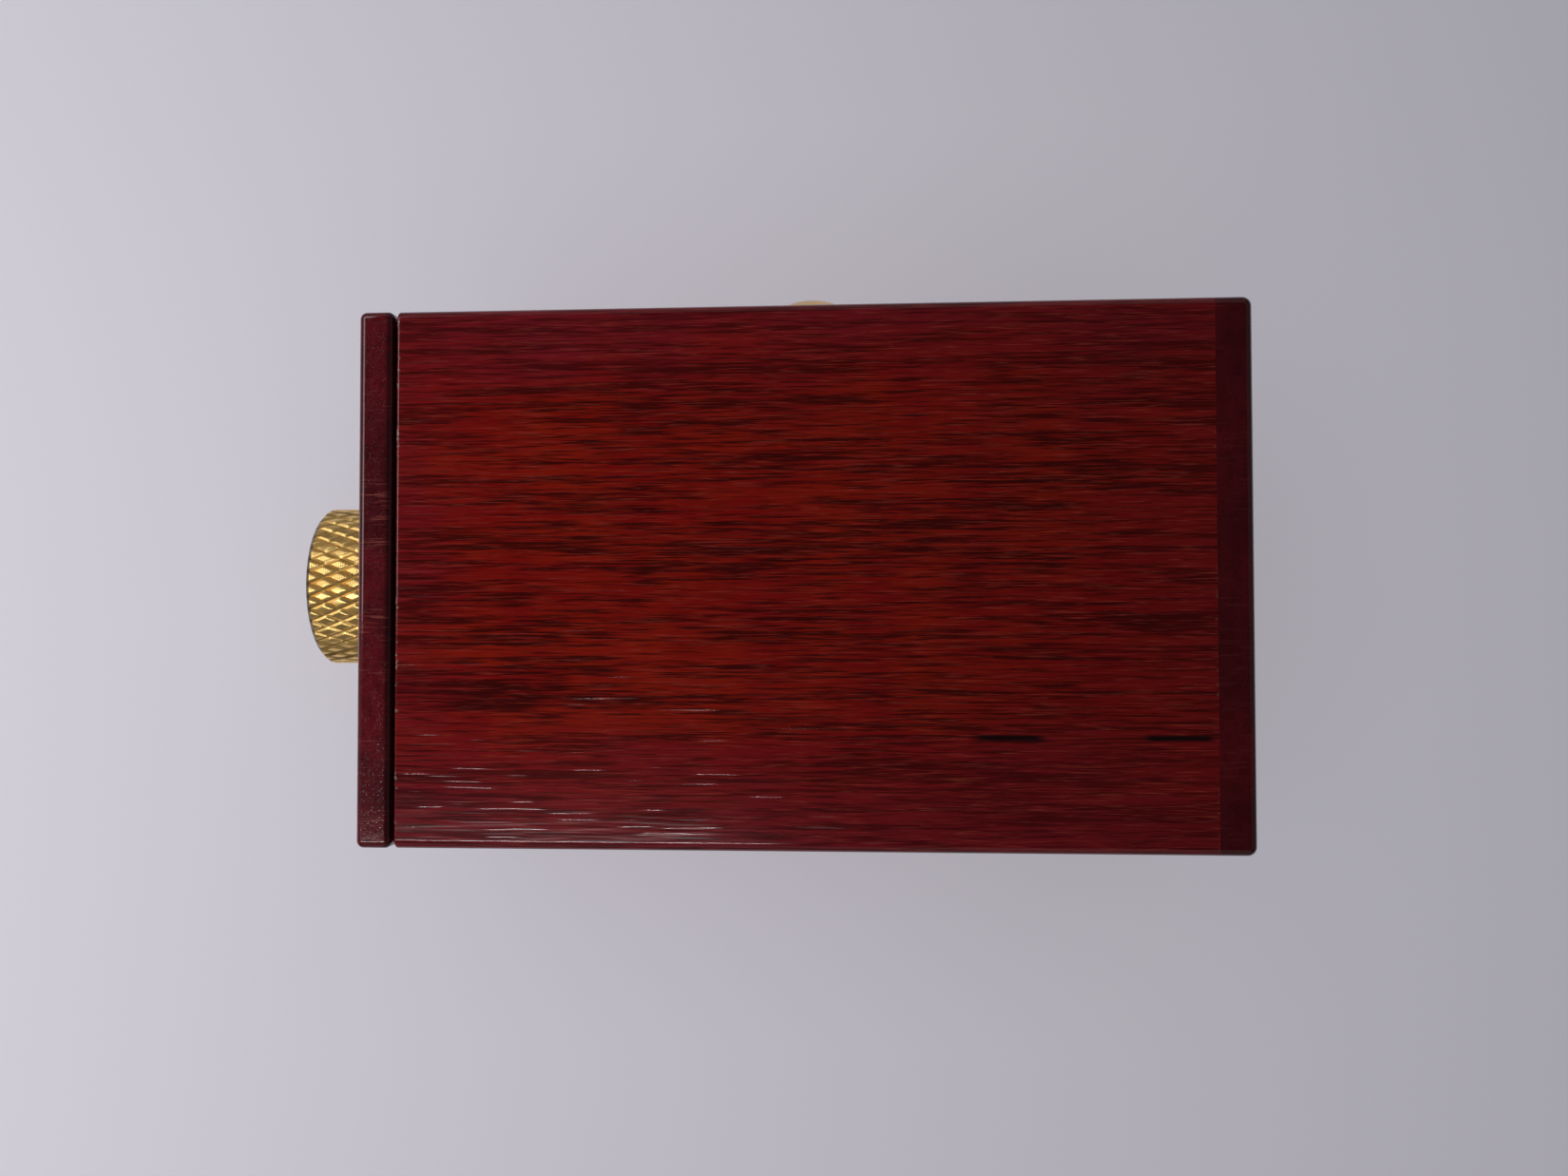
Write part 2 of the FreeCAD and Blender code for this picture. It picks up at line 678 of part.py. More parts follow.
def lock_board():
    """The board behind the lock, with the holes of the guides' screws."""
    body = cross_board(BOARD_START, BOARD_END)
    holes = [
        Disc(spot, size.screw_radius + size.seat_fit)
        for _, sign in SIDES
        for spot in guide_spots(sign)
    ]
    hollow(body, "X", BOARD_START, BOARD_END - size.screw_cover + size.glue_gap, *holes)
    return body


def bolt_guide(sign):
    """A staple of brass sheet that holds a bolt against the lock board."""
    body = new_body()
    outer_half = size.bolt_tall / 2 + size.bolt_gap + size.guide_metal
    inner_half = size.bolt_tall / 2 + size.bolt_gap
    foot_half = outer_half + size.guide_foot
    foot = BOARD_START - size.guide_metal
    under = BOLT_START - size.bolt_gap
    bridge = under - size.guide_metal
    half = [
        (BOARD_START, inner_half),
        (BOARD_START, foot_half),
        (foot, foot_half),
        (foot, outer_half),
        (bridge, outer_half),
    ]
    upper = [(x_place, MID_HEIGHT + rise) for x_place, rise in half]
    lower = [(x_place, MID_HEIGHT - rise) for x_place, rise in reversed(half)]
    inside = [(under, MID_HEIGHT - inner_half), (under, MID_HEIGHT + inner_half)]
    prism(body, "Y", *side_levels(sign, GUIDE_START, GUIDE_END), upper + lower + inside)
    holes = [Disc(spot, size.screw_radius + size.seat_fit) for spot in guide_spots(sign)]
    hollow(body, "X", foot, BOARD_START, *holes)
    return body


def guide_screws():
    """The four screws of the two bolt guides, as one group."""
    long = size.guide_metal + size.board_thick - size.screw_cover
    members = []
    for _, sign in SIDES:
        for across, up in guide_spots(sign):
            item = screw(size.screw_head_radius, size.screw_head_tall, size.screw_radius, long)
            members.append(place(item, "-X", BOARD_START - size.guide_metal, across, up))
    return compound(members)


def on_knob_axis(item):
    """Sets an object that was made along Z on the knob's axis, facing out of the front."""
    return place(item, "-X", FRONT_FACE, 0, MID_HEIGHT)


def knob_bush():
    """The flanged bush that the spindle turns in."""
    body = new_body()
    bore = size.spindle_radius + size.turn_fit
    turned(body, [
        (bore, BUSH_NUT_BACK),
        (size.bush_radius, BUSH_NUT_BACK),
        (size.bush_radius, as_size(0)),
        (size.flange_radius, as_size(0)),
        (size.flange_radius, size.flange_thick),
        (bore, size.flange_thick),
    ])
    return on_knob_axis(body)


def nut(flats, bore, low, high):
    """A hexagon nut on the knob's axis."""
    body = new_body()
    prism(body, "Z", low, high, hexagon(flats), Disc((0, 0), bore + size.seat_fit))
    return on_knob_axis(body)


def bush_nut():
    """The nut that clamps the bush in the drawer front."""
    return nut(size.bush_nut_flats, size.bush_radius, BUSH_NUT_BACK, -size.front_thick)


# ---- Knob, spindle and cam disc --------------------------------------------------------


def knob():
    """The knob: bored for the spindle, recessed round the bush's flange, drilled below."""
    body = new_body()
    bore = size.spindle_radius + size.seat_fit
    recess = size.flange_radius + size.flange_room
    recess_end = size.flange_thick + size.cam_gap
    turned(body, [
        (as_size(0), size.grip_depth + size.knob_gap + size.cam_gap),
        (bore, size.grip_depth + size.knob_gap + size.cam_gap),
        (bore, recess_end),
        (recess, recess_end),
        (recess, size.knob_gap),
        (size.knob_radius, size.knob_gap),
        (size.knob_radius, size.knob_reach - size.knob_chamfer),
        (size.knob_radius - size.knob_chamfer, size.knob_reach),
        (as_size(0), size.knob_reach),
    ])
    grub_hole = Disc((0, KNOB_MIDDLE), size.grub_radius + size.seat_fit)
    hollow(body, "X", -size.knob_radius - PAST, 0, grub_hole)
    return on_knob_axis(body)


def knob_grub_screw():
    """The socket screw that holds the knob on the spindle, from below."""
    high = size.knob_radius - size.grub_sink
    low = size.spindle_radius + size.seat_fit
    shank = cylinder(size.grub_radius, low, high)
    socket = doc.addObject("Part::Prism", "Prism")
    socket.Polygon = 6
    bind(socket, "Circumradius", size.grub_socket)
    bind(socket, "Height", size.grub_radius + PAST)
    bind(socket, "Placement.Base.z", high - size.grub_radius)
    return place(boolean("Cut", shank, socket), "-Z", FRONT_FACE - KNOB_MIDDLE, 0, MID_HEIGHT)


def spindle():
    """The shaft from the knob to the cam disc: round, then square, then a threaded tail."""
    body = new_body()
    round_part = Disc((0, 0), size.spindle_radius)
    tail = Disc((0, 0), size.tail_radius)
    prism(body, "Z", CAM_FRONT, size.grip_depth + size.knob_gap, round_part)
    prism(body, "Z", CAM_BACK, CAM_FRONT, centred(0, 0, size.square_side, size.square_side))
    prism(body, "Z", NUT_BACK - size.tail_spare, CAM_BACK, tail)
    return on_knob_axis(body)


def spiral_point(turn, aside, ahead):
    """A point beside or past the middle line of a cam slot, where the pin is at a turn."""
    whole = math.radians(size.knob_turn.value)
    gain = size.bolt_travel.value / whole
    reach = size.follower_place.value + gain * turn
    outwards = FreeCAD.Vector(-math.sin(turn), math.cos(turn), 0)
    onwards = FreeCAD.Vector(-math.cos(turn), -math.sin(turn), 0)
    along = (outwards * gain + onwards * reach).normalize()
    across = along.cross(FreeCAD.Vector(0, 0, 1))
    level = FreeCAD.Vector(0, 0, CAM_BACK.value - PAST)
    return outwards * reach + across * aside + along * ahead + level


def spiral_slot(half_turn):
    """A cam slot, as a solid: its middle line moves outwards evenly with the knob's turn."""
    first = -math.radians(size.slot_spare.value)
    last = math.radians(size.knob_turn.value + size.slot_spare.value)
    half = SLOT_HALF.value
    turns = [first + (last - first) * index / (SLOT_POINTS - 1) for index in range(SLOT_POINTS)]
    edges = []
    for aside in (-half, half):
        edge = Part.BSplineCurve()
        edge.interpolate([spiral_point(turn, aside, 0) for turn in turns])
        edges.append(edge.toShape())
    for turn, ahead in ((first, -half), (last, half)):
        ends = spiral_point(turn, -half, 0), spiral_point(turn, 0, ahead), spiral_point(turn, half, 0)
        edges.append(Part.Arc(*ends).toShape())
    outline = Part.Wire(Part.__sortEdges__(edges))
    item = doc.addObject("Part::Feature", "SpiralSlot")
    item.Shape = Part.Face(outline).extrude(FreeCAD.Vector(0, 0, size.cam_thick.value + 2 * PAST))
    about = FreeCAD.Rotation(FreeCAD.Vector(0, 0, 1), half_turn)
    item.Placement = FreeCAD.Placement(FreeCAD.Vector(), about)
    return item


def cam_disc():
    """The brass disc whose two spiral slots move the bolts."""
    disc = cylinder(CAM_RADIUS, CAM_BACK, CAM_FRONT)
    side = size.square_side + size.seat_fit * 2
    square = block(side, side, CAM_BACK - PAST, CAM_FRONT + PAST)
    slots = compound([square, spiral_slot(0), spiral_slot(180)])
    return on_knob_axis(boolean("Cut", disc, slots))


def cam_washer():
    """The washer between the cam disc and the spindle's nut."""
    body = new_body()
    ring = [Disc((0, 0), size.washer_radius), Disc((0, 0), size.tail_radius + size.seat_fit)]
    prism(body, "Z", WASHER_BACK, CAM_BACK, *ring)
    return on_knob_axis(body)


def cam_nut():
    """The nut that holds the cam disc on the spindle."""
    return nut(size.nut_flats, size.tail_radius, NUT_BACK, WASHER_BACK)


# ---- Bolts and side pin ----------------------------------------------------------------


def bolt(sign):
    """A flat brass bolt behind the cam disc, with the hole of its pin."""
    body = new_body()
    bar = rectangle(
        sign * (size.follower_place - size.bolt_tail),
        BOLT_BASE,
        sign * BOLT_TIP,
        BOLT_TOP,
    )
    hole = Disc((sign * size.follower_place, MID_HEIGHT), size.follower_radius + size.seat_fit)
    prism(body, "X", BOLT_START, BOLT_END, bar, hole)

    def at_tip(edge):
        return runs_along(edge, "Z") and abs(edge.CenterOfMass.y) > BOLT_TIP.value - NEAR

    bevel_edges(body, size.bolt_bevel, at_tip)
    return body


def bolt_pin(sign):
    """The steel pin that stands in a bolt and runs in a cam slot."""
    back = BOLT_END - size.follower_sink
    front = FRONT_FACE - CAM_FRONT + size.follower_sink
    item = cylinder(size.follower_radius, 0, back - front)
    return place(item, "-X", back, sign * size.follower_place, MID_HEIGHT)


def side_pin_shaft():
    """The shaft that locks the drawer's side, with the collar that keeps it in the bush."""
    body = new_body()
    collar_under = COLLAR_TOP - size.collar_thick
    nose = size.pin_clear
    turned(body, [
        (as_size(0), PIN_TIP),
        (size.pin_radius - nose, PIN_TIP),
        (size.pin_radius, PIN_TIP + nose),
        (size.pin_radius, collar_under),
        (size.collar_radius, collar_under),
        (size.collar_radius, COLLAR_TOP),
        (size.pin_radius, COLLAR_TOP),
        (size.pin_radius, HEAD_UNDER + size.pin_head_grip),
        (as_size(0), HEAD_UNDER + size.pin_head_grip),
    ])
    return place(body, "+Y", size.pin_place, HALF_WIDTH, MID_HEIGHT)


def side_pin_head():
    """The domed brass head that a finger pushes and pulls."""
    rim = HEAD_UNDER + size.pin_head_rim
    apex = rim + size.pin_head_rise
    ball = doc.addObject("Part::Sphere", "Sphere")
    reach = size.pin_head_radius
    curve = (reach * reach + size.pin_head_rise * size.pin_head_rise) / (size.pin_head_rise * 2)
    bind(ball, "Radius", curve)
    bind(ball, "Placement.Base.z", apex - curve)
    dome = boolean("Common", cylinder(reach, HEAD_UNDER, apex), ball)
    bore = size.pin_radius + size.seat_fit
    socket = cylinder(bore, HEAD_UNDER - PAST, HEAD_UNDER + size.pin_head_grip + size.glue_gap)
    return place(boolean("Cut", dome, socket), "+Y", size.pin_place, HALF_WIDTH, MID_HEIGHT)


# ---- Assembly --------------------------------------------------------------------------


def build():
    """Makes every piece."""
    outside = sanded_block()
    blanks = [("top_panel", mitred("Z", 1)), ("bottom_panel", bottom_panel())]
    blanks += [(f"{name}_panel", side_panel(sign)) for name, sign in SIDES]
    blanks.append(("rear_panel", rear_panel()))
    for name, blank in blanks:
        keep(boolean("Common", blank, outside), name)
    keep(keeper_pins(), "keeper_pins")
    keep(stop_screw(), "stop_screw")
    keep(side_pin_bush(), "side_pin_bush")

    keep(drawer_front(), "drawer_front")
    keep(drawer_bottom(), "drawer_bottom")
    keep(cross_board(BACK_START, BACK_END), "drawer_back")
    keep(lock_board(), "lock_board")
    keep(guide_screws(), "guide_screws")
    keep(knob_bush(), "knob_bush")
    keep(bush_nut(), "knob_bush_nut")

    keep(knob(), "knob")
    keep(knob_grub_screw(), "knob_grub_screw")
    keep(spindle(), "spindle")
    keep(cam_disc(), "cam_disc")
    keep(cam_washer(), "cam_washer")
    keep(cam_nut(), "cam_nut")

    for name, sign in SIDES:
        keep(keeper(sign), f"{name}_keeper")
        keep(drawer_side(sign), f"drawer_{name}_side")
        keep(bolt_guide(sign), f"{name}_bolt_guide")
        keep(bolt(sign), f"{name}_bolt")
        keep(bolt_pin(sign), f"{name}_bolt_pin")

    keep(side_pin_shaft(), "side_pin_shaft")
    keep(side_pin_head(), "side_pin_head")


def check():
    """Stops at a failed object, a cut that took nothing away, or a broken piece."""
    for item in doc.Objects:
        if "Invalid" in item.State or "Error" in item.State:
            raise RuntimeError(f"{item.Label} failed: {item.State}")
        if item.TypeId == "PartDesign::Pocket":
            if item.Shape.Volume > item.BaseFeature.Shape.Volume - NEAR:
                raise RuntimeError(f"{item.Label} cuts nothing")
        if hasattr(item, "Shape") and (item.Shape.isNull() or not item.Shape.isValid()):
            raise RuntimeError(f"{item.Label} has no valid shape")


def write():
    """Writes each piece to its own file."""
    os.makedirs("parts", exist_ok=True)
    for item in pieces:
        item.Shape.exportStep(f"parts/{item.Label}.step")


build()
doc.recompute()
check()
write()
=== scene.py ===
import json
import math

import bmesh
import bpy
from bpy.props import FloatProperty, FloatVectorProperty, IntProperty, PointerProperty
from mathutils import Matrix, Vector


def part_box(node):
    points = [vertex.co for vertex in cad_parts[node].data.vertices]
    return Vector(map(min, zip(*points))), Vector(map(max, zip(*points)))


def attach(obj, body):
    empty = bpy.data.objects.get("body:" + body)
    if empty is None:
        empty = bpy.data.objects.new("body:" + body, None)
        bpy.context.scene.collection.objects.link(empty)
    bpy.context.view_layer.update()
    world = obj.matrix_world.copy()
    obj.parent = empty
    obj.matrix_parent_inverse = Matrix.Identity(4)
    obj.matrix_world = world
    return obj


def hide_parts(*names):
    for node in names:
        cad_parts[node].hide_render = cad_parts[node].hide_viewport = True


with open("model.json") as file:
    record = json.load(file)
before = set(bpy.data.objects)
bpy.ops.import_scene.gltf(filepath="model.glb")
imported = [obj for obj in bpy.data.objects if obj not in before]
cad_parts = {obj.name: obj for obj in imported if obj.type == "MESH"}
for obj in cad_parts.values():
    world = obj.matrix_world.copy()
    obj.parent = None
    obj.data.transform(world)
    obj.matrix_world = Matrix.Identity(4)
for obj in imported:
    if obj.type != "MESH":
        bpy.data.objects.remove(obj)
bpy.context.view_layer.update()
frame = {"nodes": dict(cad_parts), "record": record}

bl_info = {
    "name": "Wooden puzzle box",
    "version": (1, 0, 0),
    "blender": (4, 5, 0),
    "location": "View3D > Sidebar > Puzzle box",
    "description": "Finishes a red lacquered puzzle box with brass fittings and its studio",
    "category": "Object",
}

# X runs along the box, with the knob at its low end. Y runs across it, with the side pin at
# its high end. Z is up, and the origin is the centre of the underside. Lengths are in metres
# unless a name ends in _mm.

MM = 0.001
SMALLEST_STEP = 1e-6
HALF_WIDTH_MM = 30
KNOB_AXIS_UP_MM = 25.0
SIDE_PIN_ALONG_MM = 0.3
MOUTH_MM = -44.79
REAR_SEAM_MM = 45.2
KNOB_CHAMFER_MM = -60.98
LACQUER_BUMP_MM = 0.022
BROKEN_EDGE_DEGREES = 32
SHARP_DEGREES = 20
TURNED_SHARP_DEGREES = 35

RESIN = (0.006, 0.002, 0.003)
OPEN_PORE = (0.012, 0.002, 0.004)
MOUTH_SHADOW = (0.008, 0.002, 0.003)
KNOB_RIM = (0.05, 0.03, 0.012)
FLOOR_CLOUD = (0.6, 0.6, 0.64)
STUDIO_AIR = (0.93, 0.93, 1.0, 1)

CAMERA_PLACE_MM = (12.71, -6.76, 221.34)
CAMERA_TURN = {"X": -0.0322, "Y": -0.0815, "Z": 0.00394}

RED_BOARDS = ("top_panel", "bottom_panel", "left_panel", "right_panel")
DARK_BOARDS = ("rear_panel", "drawer_front")
PALE_BOARDS = (
    "drawer_left_side", "drawer_right_side", "drawer_bottom", "drawer_back", "lock_board",
)
BRASS_WORKS = (
    "left_keeper", "right_keeper", "side_pin_bush", "left_bolt_guide", "right_bolt_guide",
    "knob_bush", "knob_bush_nut", "cam_disc", "left_bolt", "right_bolt", "side_pin_shaft",
    "stop_screw",
)
STEEL_WORKS = (
    "knob_grub_screw", "spindle", "cam_washer", "cam_nut", "left_bolt_pin", "right_bolt_pin",
)


# ---- Sizes and colours that a user may change -------------------------------------------


def colour(name, description, default):
    return FloatVectorProperty(
        name=name, description=description, default=default, size=3, min=0, max=1,
        subtype="COLOR",
    )


def length(name, description, default):
    return FloatProperty(
        name=name, description=description, default=default, min=0, precision=5,
        subtype="DISTANCE", unit="LENGTH",
    )


def share(name, description, default):
    return FloatProperty(
        name=name, description=description, default=default, min=0, max=1, subtype="FACTOR",
    )


def brightness(name, description, default):
    return FloatProperty(name=name, description=description, default=default, min=0)


class WoodSettings(bpy.types.PropertyGroup):
    """The boards of the box"""

    red: colour("Red", "Stained wood between the streaks", (0.245, 0.0050, 0.0040))
    warm: colour("Warm red", "Lighter bands near the middle of a board", (0.335, 0.0150, 0.0035))
    # Maroon is painted shade towards the edges and ends of the red boards; in the dark wood it is a
    # random cloud of colour.
    maroon: colour("Maroon", "Deeper stain towards the edges", (0.215, 0.0105, 0.0190))
    # Deep red is painted shade: the red boards grow darker towards the rear (+X), away from the
    # lights.
    deep: colour("Deep red", "Deeper stain towards the rear", (0.110, 0.0040, 0.0040))
    # Streak is also laid over the rear panel as painted shade.
    streak: colour("Streak", "Dark fibres", (0.034, 0.0015, 0.0016))
    thread: colour("Thread", "Thin light fibres", (0.42, 0.062, 0.040))
    chip: colour("Chip", "Bare wood where the lacquer is chipped", (0.50, 0.34, 0.30))
    glue: colour("Glue", "Dried glue in the rear seam", (0.16, 0.075, 0.030))
    dark: colour("Dark wood", "Drawer front and rear panel", (0.095, 0.0070, 0.0120))
    dark_light: colour("Dark wood figure", "Lighter rays in the dark wood", (0.27, 0.060, 0.050))
    pale: colour("Pale wood", "Drawer boards", (0.60, 0.38, 0.20))
    pale_dark: colour("Pale wood streak", "Darker fibres of the drawer boards", (0.36, 0.19, 0.09))
    soften: length("Softened edge", "Width of the sanded edges inside", 0.00015)
    pores: share("Pores", "How deep the open pores look under the lacquer", 0.13)


class BrassSettings(bpy.types.PropertyGroup):
    """The brass and steel fittings"""

    brass: colour("Brass", "Polished brass", (0.89, 0.58, 0.20))
    tarnish: colour("Tarnish", "Brass in grooves and corners", (0.30, 0.17, 0.05))
    steel: colour("Steel", "Machined steel", (0.56, 0.56, 0.57))
    soften: length("Softened edge", "Width of the broken edges", 0.0001)
    diamonds: IntProperty(
        name="Diamonds", description="Knurled diamonds round the knob", default=39, min=8,
    )
    diamond_long: length("Diamond length", "Length of a diamond along the knob", 0.0038)
    groove_deep: length("Groove depth", "Depth of the knurl", 0.00026)
    groove_wide: share("Groove width", "Half the groove, as a share of a diamond", 0.21)


class StageSettings(bpy.types.PropertyGroup):
    """Floor, lights and camera"""

    floor: colour("Floor", "Pale floor", (0.80, 0.775, 0.86))
    wash: brightness("Floor light", "Light from the left that falls on the floor alone", 7.8)
    even: brightness("Even floor light", "Light from above that falls on the floor alone", 0.44)
    left: brightness("Left light", "Softbox beyond the knob", 0.2)
    window: brightness("Window light", "Softbox above the knob's far side", 3.2)
    right: brightness("Right light", "Softbox beyond the rear panel", 0.10)
    back: brightness("Back light", "Softbox beyond the side pin", 0.20)
    front: brightness("Front light", "Softbox on the other side", 0.20)
    gloss: brightness("Gloss light", "Softbox above that shows in the lacquer", 1.5)
    glint: brightness("Glint light", "Narrow bright light that shows in the pores", 60.0)
    sky: brightness("Surroundings", "Even light from everywhere", 0.03)
    lens: length("Lens", "Focal length, for a 36 mm sensor", 0.03616)


class BoxSettings(bpy.types.PropertyGroup):
    """All of the puzzle box's settings"""

    wood: PointerProperty(type=WoodSettings, name="Wood", description="The boards")
    brass: PointerProperty(type=BrassSettings, name="Metal", description="The fittings")
    stage: PointerProperty(type=StageSettings, name="Stage", description="Floor and lights")


# ---- Node trees written as expressions -------------------------------------------------


class Value:
    """A number in a node tree: arithmetic on it adds Math nodes."""

    def __init__(self, graph, socket):
        self.graph = graph
        self.socket = socket

    def __add__(self, other):
        return self.graph.maths("ADD", self, other)

    def __radd__(self, other):
        return self.graph.maths("ADD", other, self)

    def __sub__(self, other):
        return self.graph.maths("SUBTRACT", self, other)

    def __rsub__(self, other):
        return self.graph.maths("SUBTRACT", other, self)

    def __mul__(self, other):
        return self.graph.maths("MULTIPLY", self, other)

    def __rmul__(self, other):
        return self.graph.maths("MULTIPLY", other, self)

    def __truediv__(self, other):
        return self.graph.maths("DIVIDE", self, other)

    def __abs__(self):
        return self.graph.maths("ABSOLUTE", self)


class Graph:
    """Adds nodes to a tree, each with its settings first and then its sockets."""

    def __init__(self, tree):
        self.tree = tree
        tree.nodes.clear()

    def join(self, socket, given):
        if isinstance(given, Value):
            given = given.socket
        if isinstance(given, bpy.types.NodeSocket):
            self.tree.links.new(given, socket)
        else:
            socket.default_value = given

    def node(self, kind, settings=None, sockets=None):
        made = self.tree.nodes.new(kind)
        for name, value in (settings or {}).items():
            setattr(made, name, value)
        for name, value in (sockets or {}).items():
            self.join(made.inputs[name], value)
        return made

    def value(self, made, output=0):
        return Value(self, made.outputs[output])

    def maths(self, operation, *values):
        sockets = dict(enumerate(values))
        return self.value(self.node("ShaderNodeMath", {"operation": operation}, sockets))

    def vectors(self, operation, *values):
        sockets = dict(enumerate(values))
        made = self.node("ShaderNodeVectorMath", {"operation": operation}, sockets)
        return made.outputs["Vector"]

    def length_of(self, vector):
        made = self.node("ShaderNodeVectorMath", {"operation": "LENGTH"}, {0: vector})
        return self.value(made, "Value")

    def parts(self, vector):
        made = self.node("ShaderNodeSeparateXYZ", None, {0: vector})
        return [self.value(made, axis) for axis in "XYZ"]

    def vector(self, x, y, z):
        return self.node("ShaderNodeCombineXYZ", None, {0: x, 1: y, 2: z}).outputs[0]

    def smooth(self, value, low, high):
        """0 below low, 1 above high and smooth between them."""
        sockets = {"Value": value, "From Min": low, "From Max": high}
        made = self.node("ShaderNodeMapRange", {"interpolation_type": "SMOOTHSTEP"}, sockets)
        return self.value(made)

    def least(self, first, second):
        return self.maths("MINIMUM", first, second)

    def most(self, first, second):
        return self.maths("MAXIMUM", first, second)


class Finish(Graph):
    """A material's tree, with the textures that this box's finishes are made of."""

    def __init__(self, name):
        self.material = bpy.data.materials.new(name)
        self.material.use_nodes = True
        super().__init__(self.material.node_tree)
        place = self.node("ShaderNodeTexCoord").outputs["Object"]
        self.place = self.vectors("MULTIPLY", place, (1 / MM,) * 3)

    def noise(self, sizes_mm, detail=2.0, roughness=0.5, shift=0.0):
        """Noise whose lumps have these sizes along X, Y and Z."""
        stretch = tuple(1 / size for size in sizes_mm)
        place = self.vectors("MULTIPLY_ADD", self.place, stretch, (shift,) * 3)
        sockets = {"Vector": place, "Scale": 1.0, "Detail": detail, "Roughness": roughness}
        return self.value(self.node("ShaderNodeTexNoise", None, sockets), "Fac")

    def tint(self, factor, first, second, mode="MIX"):
        """The first colour, with the second laid over it where factor is 1."""
        sockets = {0: factor, 6: opaque(first), 7: opaque(second)}
        settings = {"data_type": "RGBA", "blend_type": mode}
        return self.node("ShaderNodeMix", settings, sockets).outputs[2]

    def bump(self, height, strength, distance_mm):
        sockets = {"Height": height, "Strength": strength, "Distance": distance_mm * MM}
        return self.node("ShaderNodeBump", None, sockets).outputs["Normal"]

    def surface(self, **sockets):
        """Ends the tree in a Principled shader."""
        named = {name.replace("_", " "): value for name, value in sockets.items()}
        shader = self.node("ShaderNodeBsdfPrincipled", None, named)
        self.node("ShaderNodeOutputMaterial", None, {"Surface": shader.outputs[0]})
        return self.material


def opaque(given):
    """A colour with its fourth number, or the socket that was given."""
    if isinstance(given, (Value, bpy.types.NodeSocket)):
        return given
    return (*given, 1.0)


# ---- Finishes --------------------------------------------------------------------------


def red_lacquer(wood):
    """Glossy red-stained hardwood: fibres along X, open pores, chipped lacquer at its ends, with
    painted shade towards its edges, its -Y side and the rear.
    """
    finish = Finish("red_lacquered_wood")
    x, y, z = finish.parts(finish.place)
    broad = finish.noise((60, 4, 4), 3, 0.55, 3)
    band = finish.noise((24, 0.9, 0.9), 3, 0.6, 11)
    fibre = finish.noise((10, 0.40, 0.40), 2, 0.6, 23)
    fine = finish.noise((5.0, 0.17, 0.17), 2, 0.6, 37)
    figure = finish.noise((7, 30, 30), 3, 0.55, 51)
    cloud = finish.noise((26, 14, 14), 2, 0.5, 63)
    # Painted shade: the red boards turn maroon towards their edges and their ends.
    across = finish.least(
        abs(y) / HALF_WIDTH_MM, abs(z - KNOB_AXIS_UP_MM) / KNOB_AXIS_UP_MM,
    )
    ends = finish.smooth(abs(x), 32, 47)
    rim = finish.smooth(across + (cloud - 0.5) * 0.7, 0.55, 1.0)
    edge = finish.most(rim, ends * 0.6)
    # Painted shade: darker on the -Y side, away from the window light.
    edge = finish.most(edge, finish.smooth(y * -1 + (cloud - 0.5) * 12, 12, 26) * 0.9)
    warmth = finish.smooth(broad * 0.4 + fibre * 0.25 + figure * 0.35, 0.43, 0.60)
    base = finish.tint(edge, wood.red, wood.maroon)
    # The warm bands fade under the painted edge shade.
    base = finish.tint(warmth * (1 - edge * 0.8) * 0.8, base, wood.warm)
    # Painted shade: darker towards the rear (+X).
    base = finish.tint(finish.smooth(x, -35, 55) * 0.60, base, wood.deep)
    crowd = finish.noise((34, 7, 7), 2, 0.5, 101)
    shade = band * 0.32 + fibre * 0.34 + fine * 0.34 + (crowd - 0.5) * 0.10
    streaks = finish.smooth(shade, 0.455, 0.565)
    base = finish.tint(streaks * (0.90 - edge * 0.25), base, wood.streak)
    thread = finish.smooth(finish.noise((4.0, 0.12, 0.12), 2, 0.6, 71), 0.54, 0.72)
    base = finish.tint(thread * 0.42, base, wood.thread)
    base = finish.tint(resin_streaks(finish, x, y, z, fine), base, RESIN)
    speck = finish.noise((0.6, 0.5, 0.5), 1, 0.5, 77)
    rare = finish.smooth(finish.noise((4, 4, 4), 1, 0.5, 83), 0.52, 0.60)
    mouth = finish.smooth(x, MOUTH_MM, -44.74) * (1 - finish.smooth(x, -44.6, -44.25))
    seam = 1 - finish.smooth(abs(x - REAR_SEAM_MM), 0.10, 0.35)
    chips = finish.smooth(speck, 0.56, 0.64) * rare
    base = finish.tint(chips * mouth * 0.6, base, wood.chip)
    base = finish.tint(chips * seam * 0.5, base, wood.glue)
    pore = finish.smooth(finish.noise((11, 0.33, 0.33), 1, 0.5, 91), 0.66, 0.75)
    wave = finish.noise((11, 0.7, 0.7), 2, 0.5, 5)
    ripple = finish.noise((7, 0.24, 0.24), 1, 0.5, 107)
    return finish.surface(
        Base_Color=base,
        Roughness=0.08 + pore * 0.1,
        Normal=finish.bump(wave * 0.5 + ripple * 0.14 - pore * wood.pores, 1.0, LACQUER_BUMP_MM),
    )


def resin_streaks(finish, x, y, z, fine):
    """Two short black streaks in the top board."""
    top = finish.smooth(z, 48.5, 49.0)
    waver = (fine - 0.5) * 0.5
    line = 1 - finish.smooth(abs(y + 17.5 + waver), 0.14, 0.48)
    first = 1 - finish.smooth(abs(x - 23.0), 2.6, 4.6)
    second = 1 - finish.smooth(abs(x - 41.0), 2.8, 4.2)
    return line * top * finish.most(first, second) * 0.95


